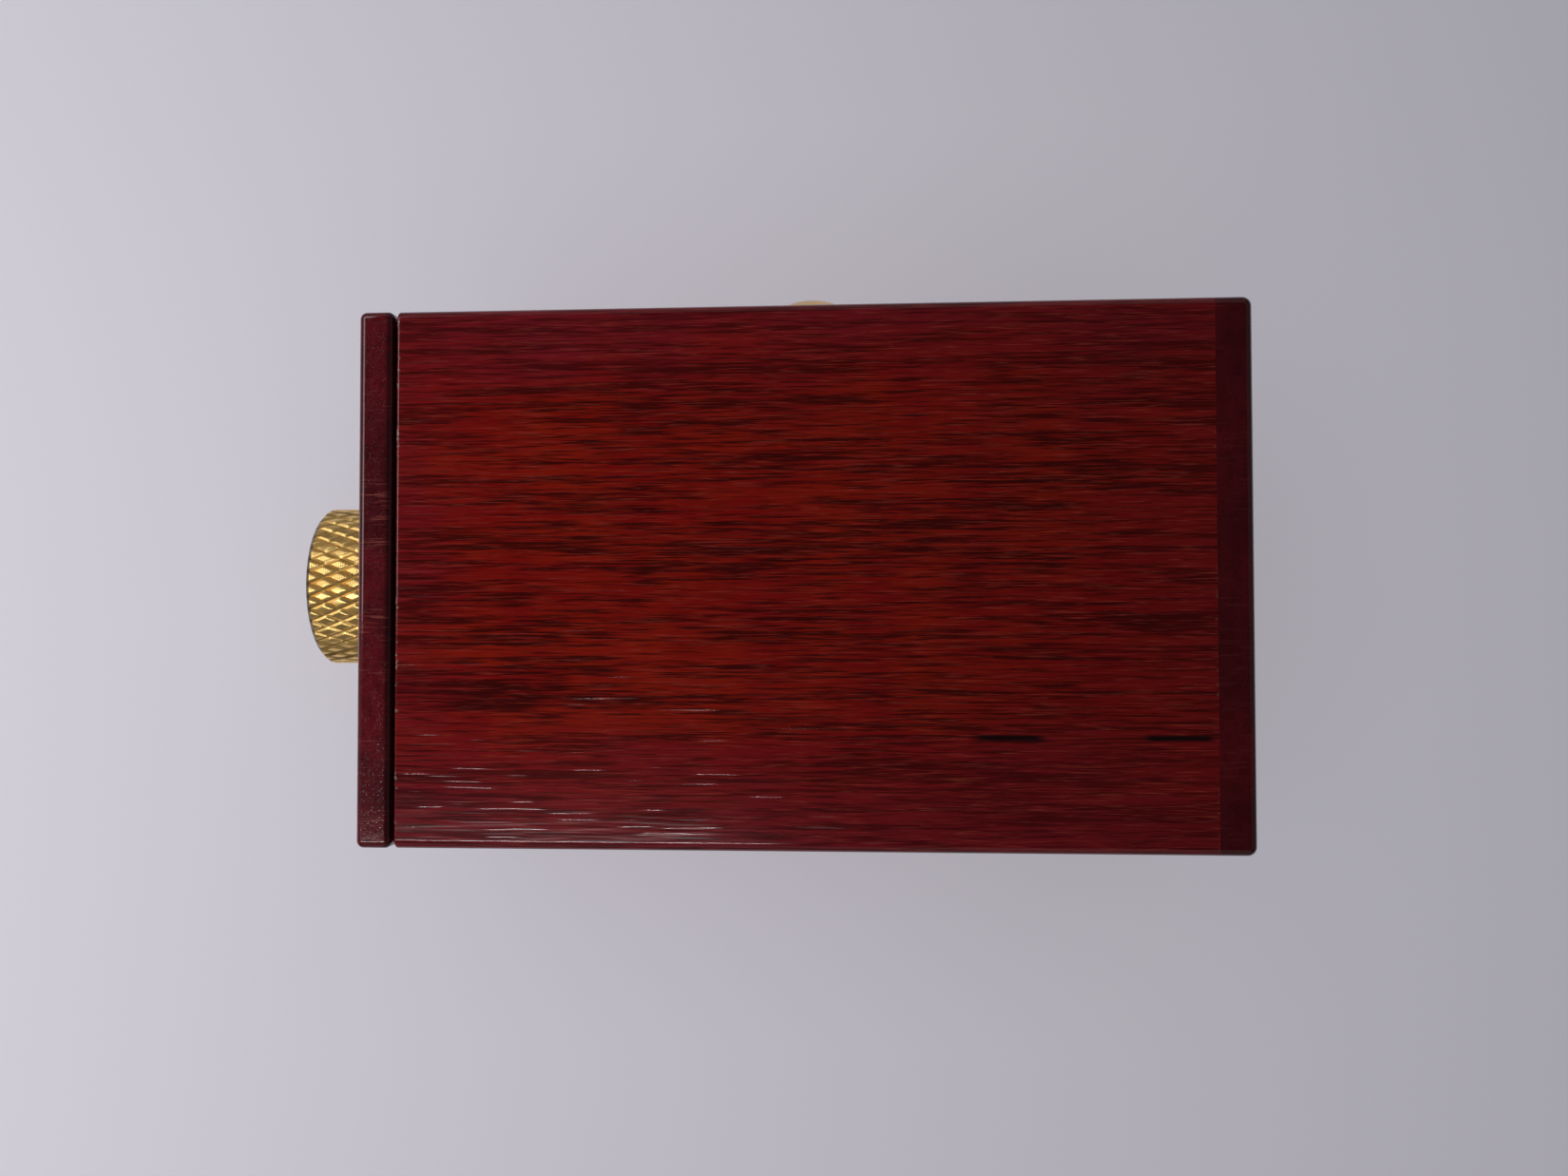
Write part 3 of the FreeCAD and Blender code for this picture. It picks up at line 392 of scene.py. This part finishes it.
def dark_end_grain(wood):
    """The dark wood of the drawer front and the rear panel: fibres along Z, with painted shade on
    the rear panel.
    """
    finish = Finish("dark_lacquered_wood")
    fibre = finish.noise((0.35, 0.35, 7), 4, 0.65, 13)
    band = finish.noise((1.6, 2.2, 60), 3, 0.55, 29)
    rays = finish.noise((4.5, 0.22, 1.2), 2, 0.6, 43)
    rare = finish.noise((9, 4.5, 9), 2, 0.5, 61)
    x = finish.parts(finish.place)[0]
    cloud = finish.noise((12, 12, 30), 2, 0.5, 87)
    base = finish.tint(finish.smooth(cloud, 0.4, 0.62) * 0.5, wood.dark, wood.maroon)
    base = finish.tint(finish.smooth(band, 0.45, 0.62) * 0.35, base, wood.streak)
    base = finish.tint(finish.smooth(fibre, 0.52, 0.66) * 0.6, base, wood.streak)
    light = finish.smooth(rays, 0.57, 0.69) * finish.smooth(rare, 0.43, 0.58)
    # Painted shade on the rear panel, past x = 40 mm: its lighter rays fade there.
    light = light * (1 - finish.smooth(x, 40, 44) * 0.7)
    base = finish.tint(light * 0.85, base, wood.dark_light)
    pore = finish.smooth(finish.noise((0.16, 0.16, 3.5), 1, 0.5, 97), 0.64, 0.76)
    base = finish.tint(pore * 0.5, base, OPEN_PORE)
    # Painted shade: the rear panel is darkened with the streak colour.
    base = finish.tint(finish.smooth(x, 40, 44) * 0.5, base, wood.streak)
    shadow = finish.smooth(x, -46.4, -45.4) * (1 - finish.smooth(x, 0, 5))
    base = finish.tint(shadow * 0.75, base, MOUTH_SHADOW)
    ripple = finish.noise((0.9, 0.9, 8), 2, 0.5, 7)
    return finish.surface(
        Base_Color=base,
        Roughness=0.08 + pore * 0.1,
        Normal=finish.bump(ripple * 0.4 - pore * wood.pores, 1.0, LACQUER_BUMP_MM),
    )


def pale_boards(wood):
    """Oiled pale wood of the drawer: fibres along X, and fine sanding marks."""
    finish = Finish("pale_oiled_wood")
    broad = finish.noise((80, 4, 4), 3, 0.55, 3)
    fibre = finish.noise((7, 0.4, 0.4), 4, 0.6, 19)
    fleck = finish.smooth(finish.noise((1.6, 0.14, 0.14), 1, 0.5, 47), 0.62, 0.74)
    grain = finish.smooth(broad * 0.5 + fibre * 0.5, 0.40, 0.64)
    base = finish.tint(grain * 0.75, wood.pale, wood.pale_dark)
    base = finish.tint(fleck * 0.6, base, wood.pale_dark)
    return finish.surface(
        Base_Color=base,
        Roughness=0.52 + grain * 0.12,
        Normal=finish.bump(fibre * 0.4 - fleck * 0.5, 0.4, 0.08),
    )


def turned_brass(brass):
    """Brass from the lathe: fine tool rings round the knob's axis, tarnish in the knurl."""
    finish = Finish("turned_brass")
    x, y, z = finish.parts(finish.place)
    reach = finish.length_of(finish.vector(0.0, y, z - KNOB_AXIS_UP_MM))
    rings = finish.maths("SINE", (reach + x) * 24.0)
    attribute = finish.node("ShaderNodeAttribute", {"attribute_name": "groove"})
    groove = finish.value(attribute, "Fac")
    cloud = finish.noise((2.5, 2.5, 2.5), 3, 0.6, 9)
    speck = finish.noise((0.22, 0.22, 0.22), 2, 0.6, 31)
    dirt = finish.smooth(groove, 0.35, 1.0) * 0.75
    dirt = finish.most(dirt, finish.smooth(speck, 0.62, 0.8) * 0.35)
    base = finish.tint(dirt, brass.brass, brass.tarnish)
    base = finish.tint(finish.smooth(cloud, 0.4, 0.7) * 0.10, base, brass.tarnish)
    near_face = 1 - finish.smooth(abs(x - KNOB_CHAMFER_MM), 0.22, 0.34)
    rim = finish.smooth(reach, 9.0, 9.2) * near_face
    base = finish.tint(rim * 0.85, base, KNOB_RIM)
    return finish.surface(
        Base_Color=base,
        Metallic=1.0,
        Roughness=0.24 + cloud * 0.12 + dirt * 0.2,
        Normal=finish.bump(rings * 0.6 + speck * 0.5, 1.0, 0.006),
    )


def worked_metal(name, base, tarnish, roughness):
    """Sawn and filed metal: fine scratches, soft cloudy wear and small dark specks."""
    finish = Finish(name)
    scratch = finish.noise((3.0, 3.0, 0.07), 2, 0.6, 15)
    cloud = finish.noise((3, 3, 3), 3, 0.6, 27)
    speck = finish.noise((0.3, 0.3, 0.3), 2, 0.6, 33)
    wear = finish.smooth(cloud, 0.42, 0.7) * 0.35
    wear = finish.most(wear, finish.smooth(speck, 0.64, 0.8) * 0.6)
    return finish.surface(
        Base_Color=finish.tint(wear, base, tarnish),
        Metallic=1.0,
        Roughness=roughness + scratch * 0.14,
        Normal=finish.bump(scratch * 0.5 + speck * 0.5, 0.10, 0.03),
    )


def kept(name, make, *settings):
    """A finish by its name, made when it is first asked for."""
    return bpy.data.materials.get(name) or make(*settings)


def finish_for(node):
    wood = bpy.context.scene.puzzle_box.wood
    brass = bpy.context.scene.puzzle_box.brass
    if node in RED_BOARDS:
        return kept("red_lacquered_wood", red_lacquer, wood)
    if node in DARK_BOARDS:
        return kept("dark_lacquered_wood", dark_end_grain, wood)
    if node in PALE_BOARDS:
        return kept("pale_oiled_wood", pale_boards, wood)
    if node in ("knob", "side_pin_head"):
        return kept("turned_brass", turned_brass, brass)
    if node in STEEL_WORKS or node == "guide_screws":
        dark = tuple(part * 0.35 for part in brass.steel)
        return kept("filed_steel", worked_metal, "filed_steel", brass.steel, dark, 0.26)
    return kept("filed_brass", worked_metal, "filed_brass", brass.brass, brass.tarnish, 0.28)


# ---- Meshes ----------------------------------------------------------------------------


def new_object(name, mesh):
    item = bpy.data.objects.new(name, mesh)
    bpy.context.scene.collection.objects.link(item)
    return item


def baked(item):
    """The object's mesh with its modifiers applied; the object keeps it without them."""
    graph = bpy.context.evaluated_depsgraph_get()
    done = bpy.data.meshes.new_from_object(item.evaluated_get(graph), depsgraph=graph)
    rough = item.data
    item.modifiers.clear()
    item.data = done
    done.name = item.name
    bpy.data.meshes.remove(rough)
    return item


def from_bmesh(shape, name):
    mesh = bpy.data.meshes.new(name)
    shape.to_mesh(mesh)
    shape.free()
    return mesh


def merged_copy(node):
    """A closed copy of a CAD node's mesh, with its flat faces whole again."""
    shape = bmesh.new()
    shape.from_mesh(frame["nodes"][node].data)
    bmesh.ops.remove_doubles(shape, verts=shape.verts, dist=SMALLEST_STEP)
    bmesh.ops.dissolve_limit(
        shape, angle_limit=math.radians(0.4), verts=shape.verts, edges=shape.edges,
    )
    mesh = from_bmesh(shape, "finished_" + node)
    mesh.materials.clear()
    return mesh


def lathe(profile_mm, steps, axis):
    """A closed turned shape about an axis through the origin: (radius, place) pairs."""
    shape = bmesh.new()
    rings = []
    for radius, place in profile_mm:
        if radius == 0:
            rings.append([shape.verts.new((0, 0, place))] * steps)
            continue
        ring = []
        for step in range(steps):
            turn = 2 * math.pi * step / steps
            ring.append(shape.verts.new((radius * math.cos(turn), radius * math.sin(turn), place)))
        rings.append(ring)
    for lower, upper in zip(rings, rings[1:]):
        for step in range(steps):
            after = (step + 1) % steps
            corners = [lower[step], lower[after], upper[after], upper[step]]
            shape.faces.new(list(dict.fromkeys(corners)))
    bmesh.ops.recalc_face_normals(shape, faces=shape.faces)
    quarter = {
        "-X": Matrix.Rotation(math.radians(-90), 4, "Y"),
        "+Y": Matrix.Rotation(math.radians(-90), 4, "X"),
        "+Z": Matrix.Identity(4),
    }[axis]
    shape.transform(Matrix.Scale(MM, 4) @ quarter)
    return shape


def softened(item, width):
    """Breaks an object's sharp edges and shades its flat faces flat."""
    bevel = item.modifiers.new("Broken edges", "BEVEL")
    bevel.width = width
    bevel.segments = 2
    bevel.limit_method = "ANGLE"
    bevel.angle_limit = math.radians(BROKEN_EDGE_DEGREES)
    bevel.use_clamp_overlap = True
    bevel.harden_normals = False
    return shaded(baked(item))


def shaded(item, sharp_degrees=SHARP_DEGREES):
    """Shades an object smooth up to an angle, with the corners of its flat faces square to them."""
    item.data.shade_smooth()
    item.data.set_sharp_from_angle(angle=math.radians(sharp_degrees))
    weighted = item.modifiers.new("Flat faces", "WEIGHTED_NORMAL")
    weighted.keep_sharp = True
    weighted.weight = 100
    return baked(item)


def body_of(node):
    bodies = frame["record"]["behaviour"]["bodies"]
    return next(name for name, nodes in bodies.items() if node in nodes)


def installed(item, node):
    """Puts a finished piece in the place of its CAD node."""
    if not item.data.materials:
        item.data.materials.append(finish_for(node))
    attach(item, body_of(node))
    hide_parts(node)
    return item


def finished_copy(node, soften):
    """A CAD node as a closed mesh with broken edges and its own finish."""
    item = new_object("finished_" + node, merged_copy(node))
    return installed(softened(item, soften), node)


# ---- Geometry Nodes --------------------------------------------------------------------


class NodeGroup(Graph):
    """A Geometry Nodes group with named inputs."""

    def __init__(self, name, inputs):
        tree = bpy.data.node_groups.new(name, "GeometryNodeTree")
        tree.is_modifier = True
        super().__init__(tree)
        tree.interface.new_socket("Geometry", in_out="INPUT", socket_type="NodeSocketGeometry")
        for label, kind in inputs.items():
            tree.interface.new_socket(label, in_out="INPUT", socket_type=kind)
        tree.interface.new_socket("Geometry", in_out="OUTPUT", socket_type="NodeSocketGeometry")
        self.given = self.node("NodeGroupInput")

    def input(self, label):
        return Value(self, self.given.outputs[label])

    def finish(self, geometry, material):
        real = self.node("GeometryNodeRealizeInstances", None, {0: geometry})
        painted = self.node(
            "GeometryNodeSetMaterial", None, {"Geometry": real.outputs[0], "Material": material},
        )
        self.node("NodeGroupOutput", None, {0: painted.outputs[0]})
        return self.tree


def run_group(item, tree, values):
    """Runs a group on an object and keeps the result as its plain mesh."""
    modifier = item.modifiers.new(tree.name, "NODES")
    modifier.node_group = tree
    for socket in tree.interface.items_tree:
        if socket.item_type == "SOCKET" and socket.name in values:
            modifier[socket.identifier] = values[socket.name]
    return baked(item)


def knurl_group(material):
    """Sinks two sets of slanted grooves into whatever stands beyond them."""
    group = NodeGroup("Knurl", {
        "Axis height": "NodeSocketFloat",
        "Radius": "NodeSocketFloat",
        "Diamonds": "NodeSocketFloat",
        "Diamond length": "NodeSocketFloat",
        "Groove depth": "NodeSocketFloat",
        "Groove width": "NodeSocketFloat",
    })
    place = group.node("GeometryNodeInputPosition").outputs[0]
    x, y, z = group.parts(place)
    up = z - group.input("Axis height")
    reach = group.length_of(group.vector(0.0, y, up))
    turn = group.maths("ARCTAN2", y, up) / (2 * math.pi)
    around = turn * group.input("Diamonds")
    along = x / group.input("Diamond length")
    nearest = group.least(
        abs(group.maths("FRACT", around + along) - 0.5) * -1 + 0.5,
        abs(group.maths("FRACT", around - along) - 0.5) * -1 + 0.5,
    )
    groove = group.maths("MAXIMUM", 1 - nearest / group.input("Groove width"), 0.0)
    limit = group.input("Radius") - groove * group.input("Groove depth")
    sunk = group.least(reach, limit)
    scale = sunk / group.most(reach, SMALLEST_STEP)
    moved = group.vector(x, y * scale, up * scale + group.input("Axis height"))
    standing = group.smooth(reach, group.input("Radius") - 0.0003, group.input("Radius"))
    named = group.node(
        "GeometryNodeStoreNamedAttribute",
        {"data_type": "FLOAT", "domain": "POINT"},
        {"Geometry": group.given.outputs["Geometry"], "Name": "groove",
         "Value": groove * standing},
    )
    bent = group.node(
        "GeometryNodeSetPosition", None, {"Geometry": named.outputs[0], "Position": moved},
    )
    return group.finish(bent.outputs[0], material)


def fasteners_group(name, material):
    """Puts one fastener on each point, turned to face its way and spun by a random amount."""
    group = NodeGroup(name, {
        "Fastener": "NodeSocketObject",
        "Largest spin": "NodeSocketFloat",
        "Seed": "NodeSocketInt",
    })
    source = group.node(
        "GeometryNodeObjectInfo", {"transform_space": "ORIGINAL"},
        {"Object": group.given.outputs["Fastener"]},
    )
    facing = group.node(
        "GeometryNodeInputNamedAttribute", {"data_type": "FLOAT_VECTOR"}, {"Name": "facing"},
    )
    pointed = group.node(
        "FunctionNodeAlignRotationToVector", {"axis": "Z"}, {"Vector": facing.outputs[0]},
    )
    spin = group.node("FunctionNodeRandomValue", {"data_type": "FLOAT"}, {
        "Max": group.input("Largest spin"), "Seed": group.input("Seed"),
    })
    spun = group.node("FunctionNodeRotateRotation", {"rotation_space": "LOCAL"}, {
        0: pointed.outputs[0],
        1: group.vector(0.0, 0.0, group.value(spin, 1)),
    })
    placed = group.node("GeometryNodeInstanceOnPoints", None, {
        "Points": group.given.outputs["Geometry"],
        "Instance": source.outputs["Geometry"],
        "Rotation": spun.outputs[0],
    })
    return group.finish(placed.outputs[0], material)


def fasteners(node, spots_mm, pattern, largest_spin, seed):
    """Copies of a fastener at spots ((x, y, z), facing), in the place of a CAD node."""
    mesh = bpy.data.meshes.new("finished_" + node)
    mesh.from_pydata([Vector(spot) * MM for spot, _ in spots_mm], [], [])
    facing = mesh.attributes.new("facing", "FLOAT_VECTOR", "POINT")
    for index, (_, way) in enumerate(spots_mm):
        facing.data[index].vector = way
    item = new_object("finished_" + node, mesh)
    tree = fasteners_group("Fasteners " + node, finish_for(node))
    values = {"Fastener": pattern, "Largest spin": largest_spin, "Seed": seed}
    run_group(item, tree, values)
    bpy.data.objects.remove(pattern)
    return installed(item, node)


def cut_away(item, cutter):
    """Cuts another object's shape out of an object and deletes the other."""
    cut = item.modifiers.new("Cut", "BOOLEAN")
    cut.operation = "DIFFERENCE"
    cut.solver = "EXACT"
    cut.object = cutter
    baked(item)
    bpy.data.objects.remove(cutter)
    return item


# ---- Operators: one for each group of pieces ---------------------------------------------


class PUZZLEBOX_OT_boards(bpy.types.Operator):
    """Finish the boards of the carcass and the drawer"""

    bl_idname = "puzzlebox.boards"
    bl_label = "Boards"

    def execute(self, context):
        soften = context.scene.puzzle_box.wood.soften
        for node in RED_BOARDS + DARK_BOARDS:
            item = new_object("finished_" + node, merged_copy(node))
            installed(shaded(item), node)
        for node in PALE_BOARDS:
            finished_copy(node, soften)
        return {"FINISHED"}


class PUZZLEBOX_OT_works(bpy.types.Operator):
    """Finish the lock's brass and steel pieces, the keepers and the side pin's shaft"""

    bl_idname = "puzzlebox.works"
    bl_label = "Lock works"

    def execute(self, context):
        soften = context.scene.puzzle_box.brass.soften
        for node in BRASS_WORKS + STEEL_WORKS:
            finished_copy(node, soften)
        return {"FINISHED"}


class PUZZLEBOX_OT_fasteners(bpy.types.Operator):
    """Set the screws of the bolt guides and the nails of the keepers"""

    bl_idname = "puzzlebox.fasteners"
    bl_label = "Screws and nails"

    def execute(self, context):
        self.screws()
        self.nails()
        return {"FINISHED"}

    def screws(self):
        """Round-headed slotted screws that face the drawer front."""
        low, high = (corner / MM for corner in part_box("guide_screws"))
        head_radius, head_tall, shank_radius = 1.3, 0.8, 0.7
        shank_long = high.x - low.x - head_tall
        dome = [(head_radius * math.cos(turn), head_tall * (0.45 + 0.55 * math.sin(turn)))
                for turn in (math.radians(step * 15) for step in range(6))]
        profile = [(0, -shank_long), (shank_radius, 0.6 - shank_long), (shank_radius, 0),
                   (head_radius, 0), *dome, (0, head_tall)]
        pattern = new_object("screw_pattern", from_bmesh(lathe(profile, 48, "+Z"), "screw"))
        slot = bmesh.new()
        bmesh.ops.create_cube(slot, size=MM)
        slot.transform(
            Matrix.Translation((0, 0, 0.9 * MM)) @ Matrix.Diagonal((4, 0.43, 1.0, 1)),
        )
        cut_away(pattern, new_object("slot", from_bmesh(slot, "slot")))
        shaded(pattern, TURNED_SHARP_DEGREES)
        edge_x = low.x + head_tall
        across = high.y - head_radius
        rise = (high.z - low.z) / 2 - head_radius
        spots = [((edge_x, side * across, KNOB_AXIS_UP_MM + way * rise), (-1, 0, 0))
                 for side in (1, -1) for way in (-1, 1)]
        fasteners("guide_screws", spots, pattern, math.pi, 7)

    def nails(self):
        """Small flat-headed brass nails, flush with the keepers."""
        low, high = (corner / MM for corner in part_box("keeper_pins"))
        head_radius, head_tall, shank_radius = 1.1, 0.4, 0.6
        seat = 26.4
        profile = [(0, seat - high.y), (shank_radius, seat - high.y + 0.5), (shank_radius, 0),
                   (head_radius, 0), (head_radius, head_tall - 0.1),
                   (head_radius - 0.1, head_tall), (0, head_tall)]
        pattern = new_object("nail_pattern", from_bmesh(lathe(profile, 40, "+Z"), "nail"))
        shaded(pattern, TURNED_SHARP_DEGREES)
        along = (low.x + high.x) / 2
        rise = (high.z - low.z) / 2 - head_radius
        spots = [((along, side * seat, KNOB_AXIS_UP_MM + way * rise), (0, -side, 0))
                 for side in (1, -1) for way in (-1, 1)]
        fasteners("keeper_pins", spots, pattern, 0.5, 3)


class PUZZLEBOX_OT_knob(bpy.types.Operator):
    """Turn and knurl the brass knob"""

    bl_idname = "puzzlebox.knob"
    bl_label = "Knurled knob"

    def execute(self, context):
        brass = context.scene.puzzle_box.brass
        low, high = (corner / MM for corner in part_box("knob"))
        radius = high.y
        face, back = -low.x, -high.x
        chamfer, recess, bore = 0.5, 7.0, 2.52
        bore_end, recess_end = 59.5, 50.5
        cells = 10
        row = brass.diamond_long / MM / cells
        grip_start, grip_end = back + 0.15, face - chamfer
        rows = int((grip_end - grip_start) / row)
        grip = [(radius, grip_start + 0.001)]
        grip += [(radius, grip_end - row * step) for step in range(rows, -1, -1)]
        profile = [(0, bore_end), (bore, bore_end), (bore, recess_end), (recess, recess_end),
                   (recess, back + 0.1), (recess + 0.1, back), (radius - 0.15, back), *grip,
                   (radius - chamfer, face), (7.6, face), (7.3, face - 0.12),
                   (4.0, face - 0.22), (1.0, face - 0.26), (0, face - 0.80)]
        shape = lathe(profile, brass.diamonds * cells, "-X")
        bmesh.ops.translate(shape, verts=shape.verts, vec=(0, 0, KNOB_AXIS_UP_MM * MM))
        outer = [item for item in shape.faces
                 if all(math.hypot(v.co.y, v.co.z - KNOB_AXIS_UP_MM * MM) > (radius - 0.01) * MM
                        for v in item.verts)]
        bmesh.ops.poke(shape, faces=outer)
        item = new_object("knurled_knob", from_bmesh(shape, "knurled_knob"))
        grub_x, grub_radius, drill_low, drill_tall = -55.4, 1.52, KNOB_AXIS_UP_MM - 13.5, 12
        drill_profile = [(0, 0), (grub_radius, 0), (grub_radius, drill_tall), (0, drill_tall)]
        drill = lathe(drill_profile, 48, "+Z")
        drill.transform(Matrix.Translation((grub_x * MM, 0, drill_low * MM)))
        cut_away(item, new_object("drill", from_bmesh(drill, "drill")))
        tree = knurl_group(finish_for("knob"))
        run_group(item, tree, {
            "Axis height": KNOB_AXIS_UP_MM * MM,
            "Radius": radius * MM,
            "Diamonds": float(brass.diamonds),
            "Diamond length": brass.diamond_long,
            "Groove depth": brass.groove_deep,
            "Groove width": brass.groove_wide,
        })
        item.data.shade_smooth()
        item.data.set_sharp_from_angle(angle=math.radians(30))
        installed(item, "knob")
        return {"FINISHED"}


class PUZZLEBOX_OT_side_pin(bpy.types.Operator):
    """Turn the domed head of the side pin"""

    bl_idname = "puzzlebox.side_pin"
    bl_label = "Side pin head"

    def execute(self, context):
        low, high = (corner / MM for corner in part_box("side_pin_head"))
        radius = (high.x - low.x) / 2
        rim, rise = 0.3, 2.0
        curve = (radius * radius + rise * rise) / (2 * rise)
        middle = high.y - curve
        widest = math.asin(radius / curve)
        turns = [widest * step / 16 for step in range(15, 0, -1)]
        dome = [(curve * math.sin(turn), middle + curve * math.cos(turn)) for turn in turns]
        under = low.y
        profile = [(0, under + 1.15), (1.52, under + 1.15), (1.52, under), (radius - 0.1, under),
                   (radius, under + 0.1), (radius, under + rim), *dome, (0, high.y)]
        shape = lathe(profile, 96, "+Y")
        bmesh.ops.translate(
            shape, verts=shape.verts,
            vec=Vector((SIDE_PIN_ALONG_MM, 0, KNOB_AXIS_UP_MM)) * MM,
        )
        item = new_object("domed_pin_head", from_bmesh(shape, "domed_pin_head"))
        installed(shaded(item, 40), "side_pin_head")
        return {"FINISHED"}


class PUZZLEBOX_OT_stage(bpy.types.Operator):
    """Lay the floor, set the lights and place the camera"""

    bl_idname = "puzzlebox.stage"
    bl_label = "Stage"

    def execute(self, context):
        stage = context.scene.puzzle_box.stage
        floor = self.floor(stage)
        self.surroundings(context.scene, stage)
        self.lights(stage, floor)
        self.camera(context.scene, stage)
        context.scene.view_settings.view_transform = "Standard"
        return {"FINISHED"}

    def floor(self, stage):
        shape = bmesh.new()
        bmesh.ops.create_grid(shape, x_segments=8, y_segments=8, size=2.0)
        item = new_object("floor", from_bmesh(shape, "floor"))
        finish = Finish("pale_floor")
        cloud = finish.noise((60, 60, 60), 2, 0.5, 3)
        base = finish.tint(finish.smooth(cloud, 0.3, 0.7) * 0.03, stage.floor, FLOOR_CLOUD)
        item.data.materials.append(finish.surface(Base_Color=base, Roughness=0.85))
        return item

    def surroundings(self, scene, stage):
        world = bpy.data.worlds.new("studio")
        world.use_nodes = True
        graph = Graph(world.node_tree)
        light = graph.node(
            "ShaderNodeBackground", None, {"Color": STUDIO_AIR, "Strength": stage.sky},
        )
        graph.node("ShaderNodeOutputWorld", None, {"Surface": light.outputs[0]})
        scene.world = world

    def lights(self, stage, floor):
        """Softboxes that light only the object, and others that light only the floor."""
        box = (0, 0, 0.03)
        shining = [
            self.softbox("left", (-0.68, 0.05, 0.42), box, (1.0, 0.62), stage.left),
            self.softbox("right", (0.70, 0.10, 0.40), box, (1.0, 0.60), stage.right),
            self.softbox("back", (0.05, 0.70, 0.40), box, (1.0, 0.60), stage.back),
            self.softbox("front", (0.05, -0.70, 0.40), box, (1.0, 0.60), stage.front),
            self.overhead("window", (-0.36, 0.24, 0.45), (0.26, 0.48), stage.window),
            self.overhead("gloss", (-0.21, -0.117, 0.45), (0.30, 0.066), stage.gloss),
            self.overhead("glint", (-0.17, -0.110, 0.44), (0.26, 0.007), stage.glint),
        ]
        wash = self.softbox("wash", (-0.42, -0.03, 0.42), (-0.05, 0, 0), (0.30, 0.30), stage.wash)
        even = self.overhead("even", (0.05, -0.02, 1.00), (1.30, 1.30), stage.even)
        self.link("floor_unshaded", floor, "INCLUDE", [wash], ("receiver", "blocker"))
        self.link("floor_only", floor, "INCLUDE", [even], ("receiver",))
        self.link("all_but_floor", floor, "EXCLUDE", shining, ("receiver",))

    def link(self, name, floor, state, lights, parts):
        """Lets lights fall on the floor alone, or on all but the floor."""
        group = bpy.data.collections.new(name)
        group.objects.link(floor)
        group.collection_objects[0].light_linking.link_state = state
        for light in lights:
            for part in parts:
                setattr(light.light_linking, part + "_collection", group)

    def overhead(self, name, place, size, brightness):
        """A softbox that faces straight down."""
        return self.softbox(name, place, (*place[:2], 0), size, brightness)

    def softbox(self, name, place, aim, size, brightness):
        """A rectangular light of an even brightness, whatever its size."""
        data = bpy.data.lights.new(name, "AREA")
        data.shape = "RECTANGLE"
        data.size, data.size_y = size
        data.energy = brightness * math.pi * size[0] * size[1]
        item = new_object(name, data)
        place = Vector(place)
        turn = (Vector(aim) - place).to_track_quat("-Z", "Y")
        item.matrix_world = Matrix.LocRotScale(place, turn, None)
        return item

    def camera(self, scene, stage):
        data = bpy.data.cameras.new("camera")
        data.sensor_width = 36
        data.lens = stage.lens / MM
        data.clip_start = 0.01
        data.clip_end = 20
        item = new_object("camera", data)
        tilt = Matrix.Rotation(CAMERA_TURN["Z"], 3, "Z")
        tilt = tilt @ Matrix.Rotation(CAMERA_TURN["Y"], 3, "Y")
        tilt = tilt @ Matrix.Rotation(CAMERA_TURN["X"], 3, "X")
        place = Vector(CAMERA_PLACE_MM) * MM
        item.matrix_world = Matrix.Translation(place) @ tilt.transposed().to_4x4()
        scene.camera = item


class PUZZLEBOX_PT_sidebar(bpy.types.Panel):
    """The puzzle box's steps, in order"""

    bl_idname = "PUZZLEBOX_PT_sidebar"
    bl_label = "Puzzle box"
    bl_space_type = "VIEW_3D"
    bl_region_type = "UI"
    bl_category = "Puzzle box"

    def draw(self, context):
        for step in STEPS:
            self.layout.operator(step.bl_idname)
        for group in ("wood", "brass", "stage"):
            settings = getattr(context.scene.puzzle_box, group)
            column = self.layout.box().column()
            for label in settings.__annotations__:
                column.prop(settings, label)


STEPS = (
    PUZZLEBOX_OT_boards,
    PUZZLEBOX_OT_works,
    PUZZLEBOX_OT_fasteners,
    PUZZLEBOX_OT_knob,
    PUZZLEBOX_OT_side_pin,
    PUZZLEBOX_OT_stage,
)
GROUPS = (WoodSettings, BrassSettings, StageSettings, BoxSettings)


def register():
    for item in (*GROUPS, *STEPS, PUZZLEBOX_PT_sidebar):
        bpy.utils.register_class(item)
    bpy.types.Scene.puzzle_box = PointerProperty(type=BoxSettings)


def unregister():
    del bpy.types.Scene.puzzle_box
    for item in reversed((*GROUPS, *STEPS, PUZZLEBOX_PT_sidebar)):
        bpy.utils.unregister_class(item)


def main():
    register()
    bpy.ops.puzzlebox.boards()
    bpy.ops.puzzlebox.works()
    bpy.ops.puzzlebox.fasteners()
    bpy.ops.puzzlebox.knob()
    bpy.ops.puzzlebox.side_pin()
    bpy.ops.puzzlebox.stage()


if __name__ == "__main__":
    main()
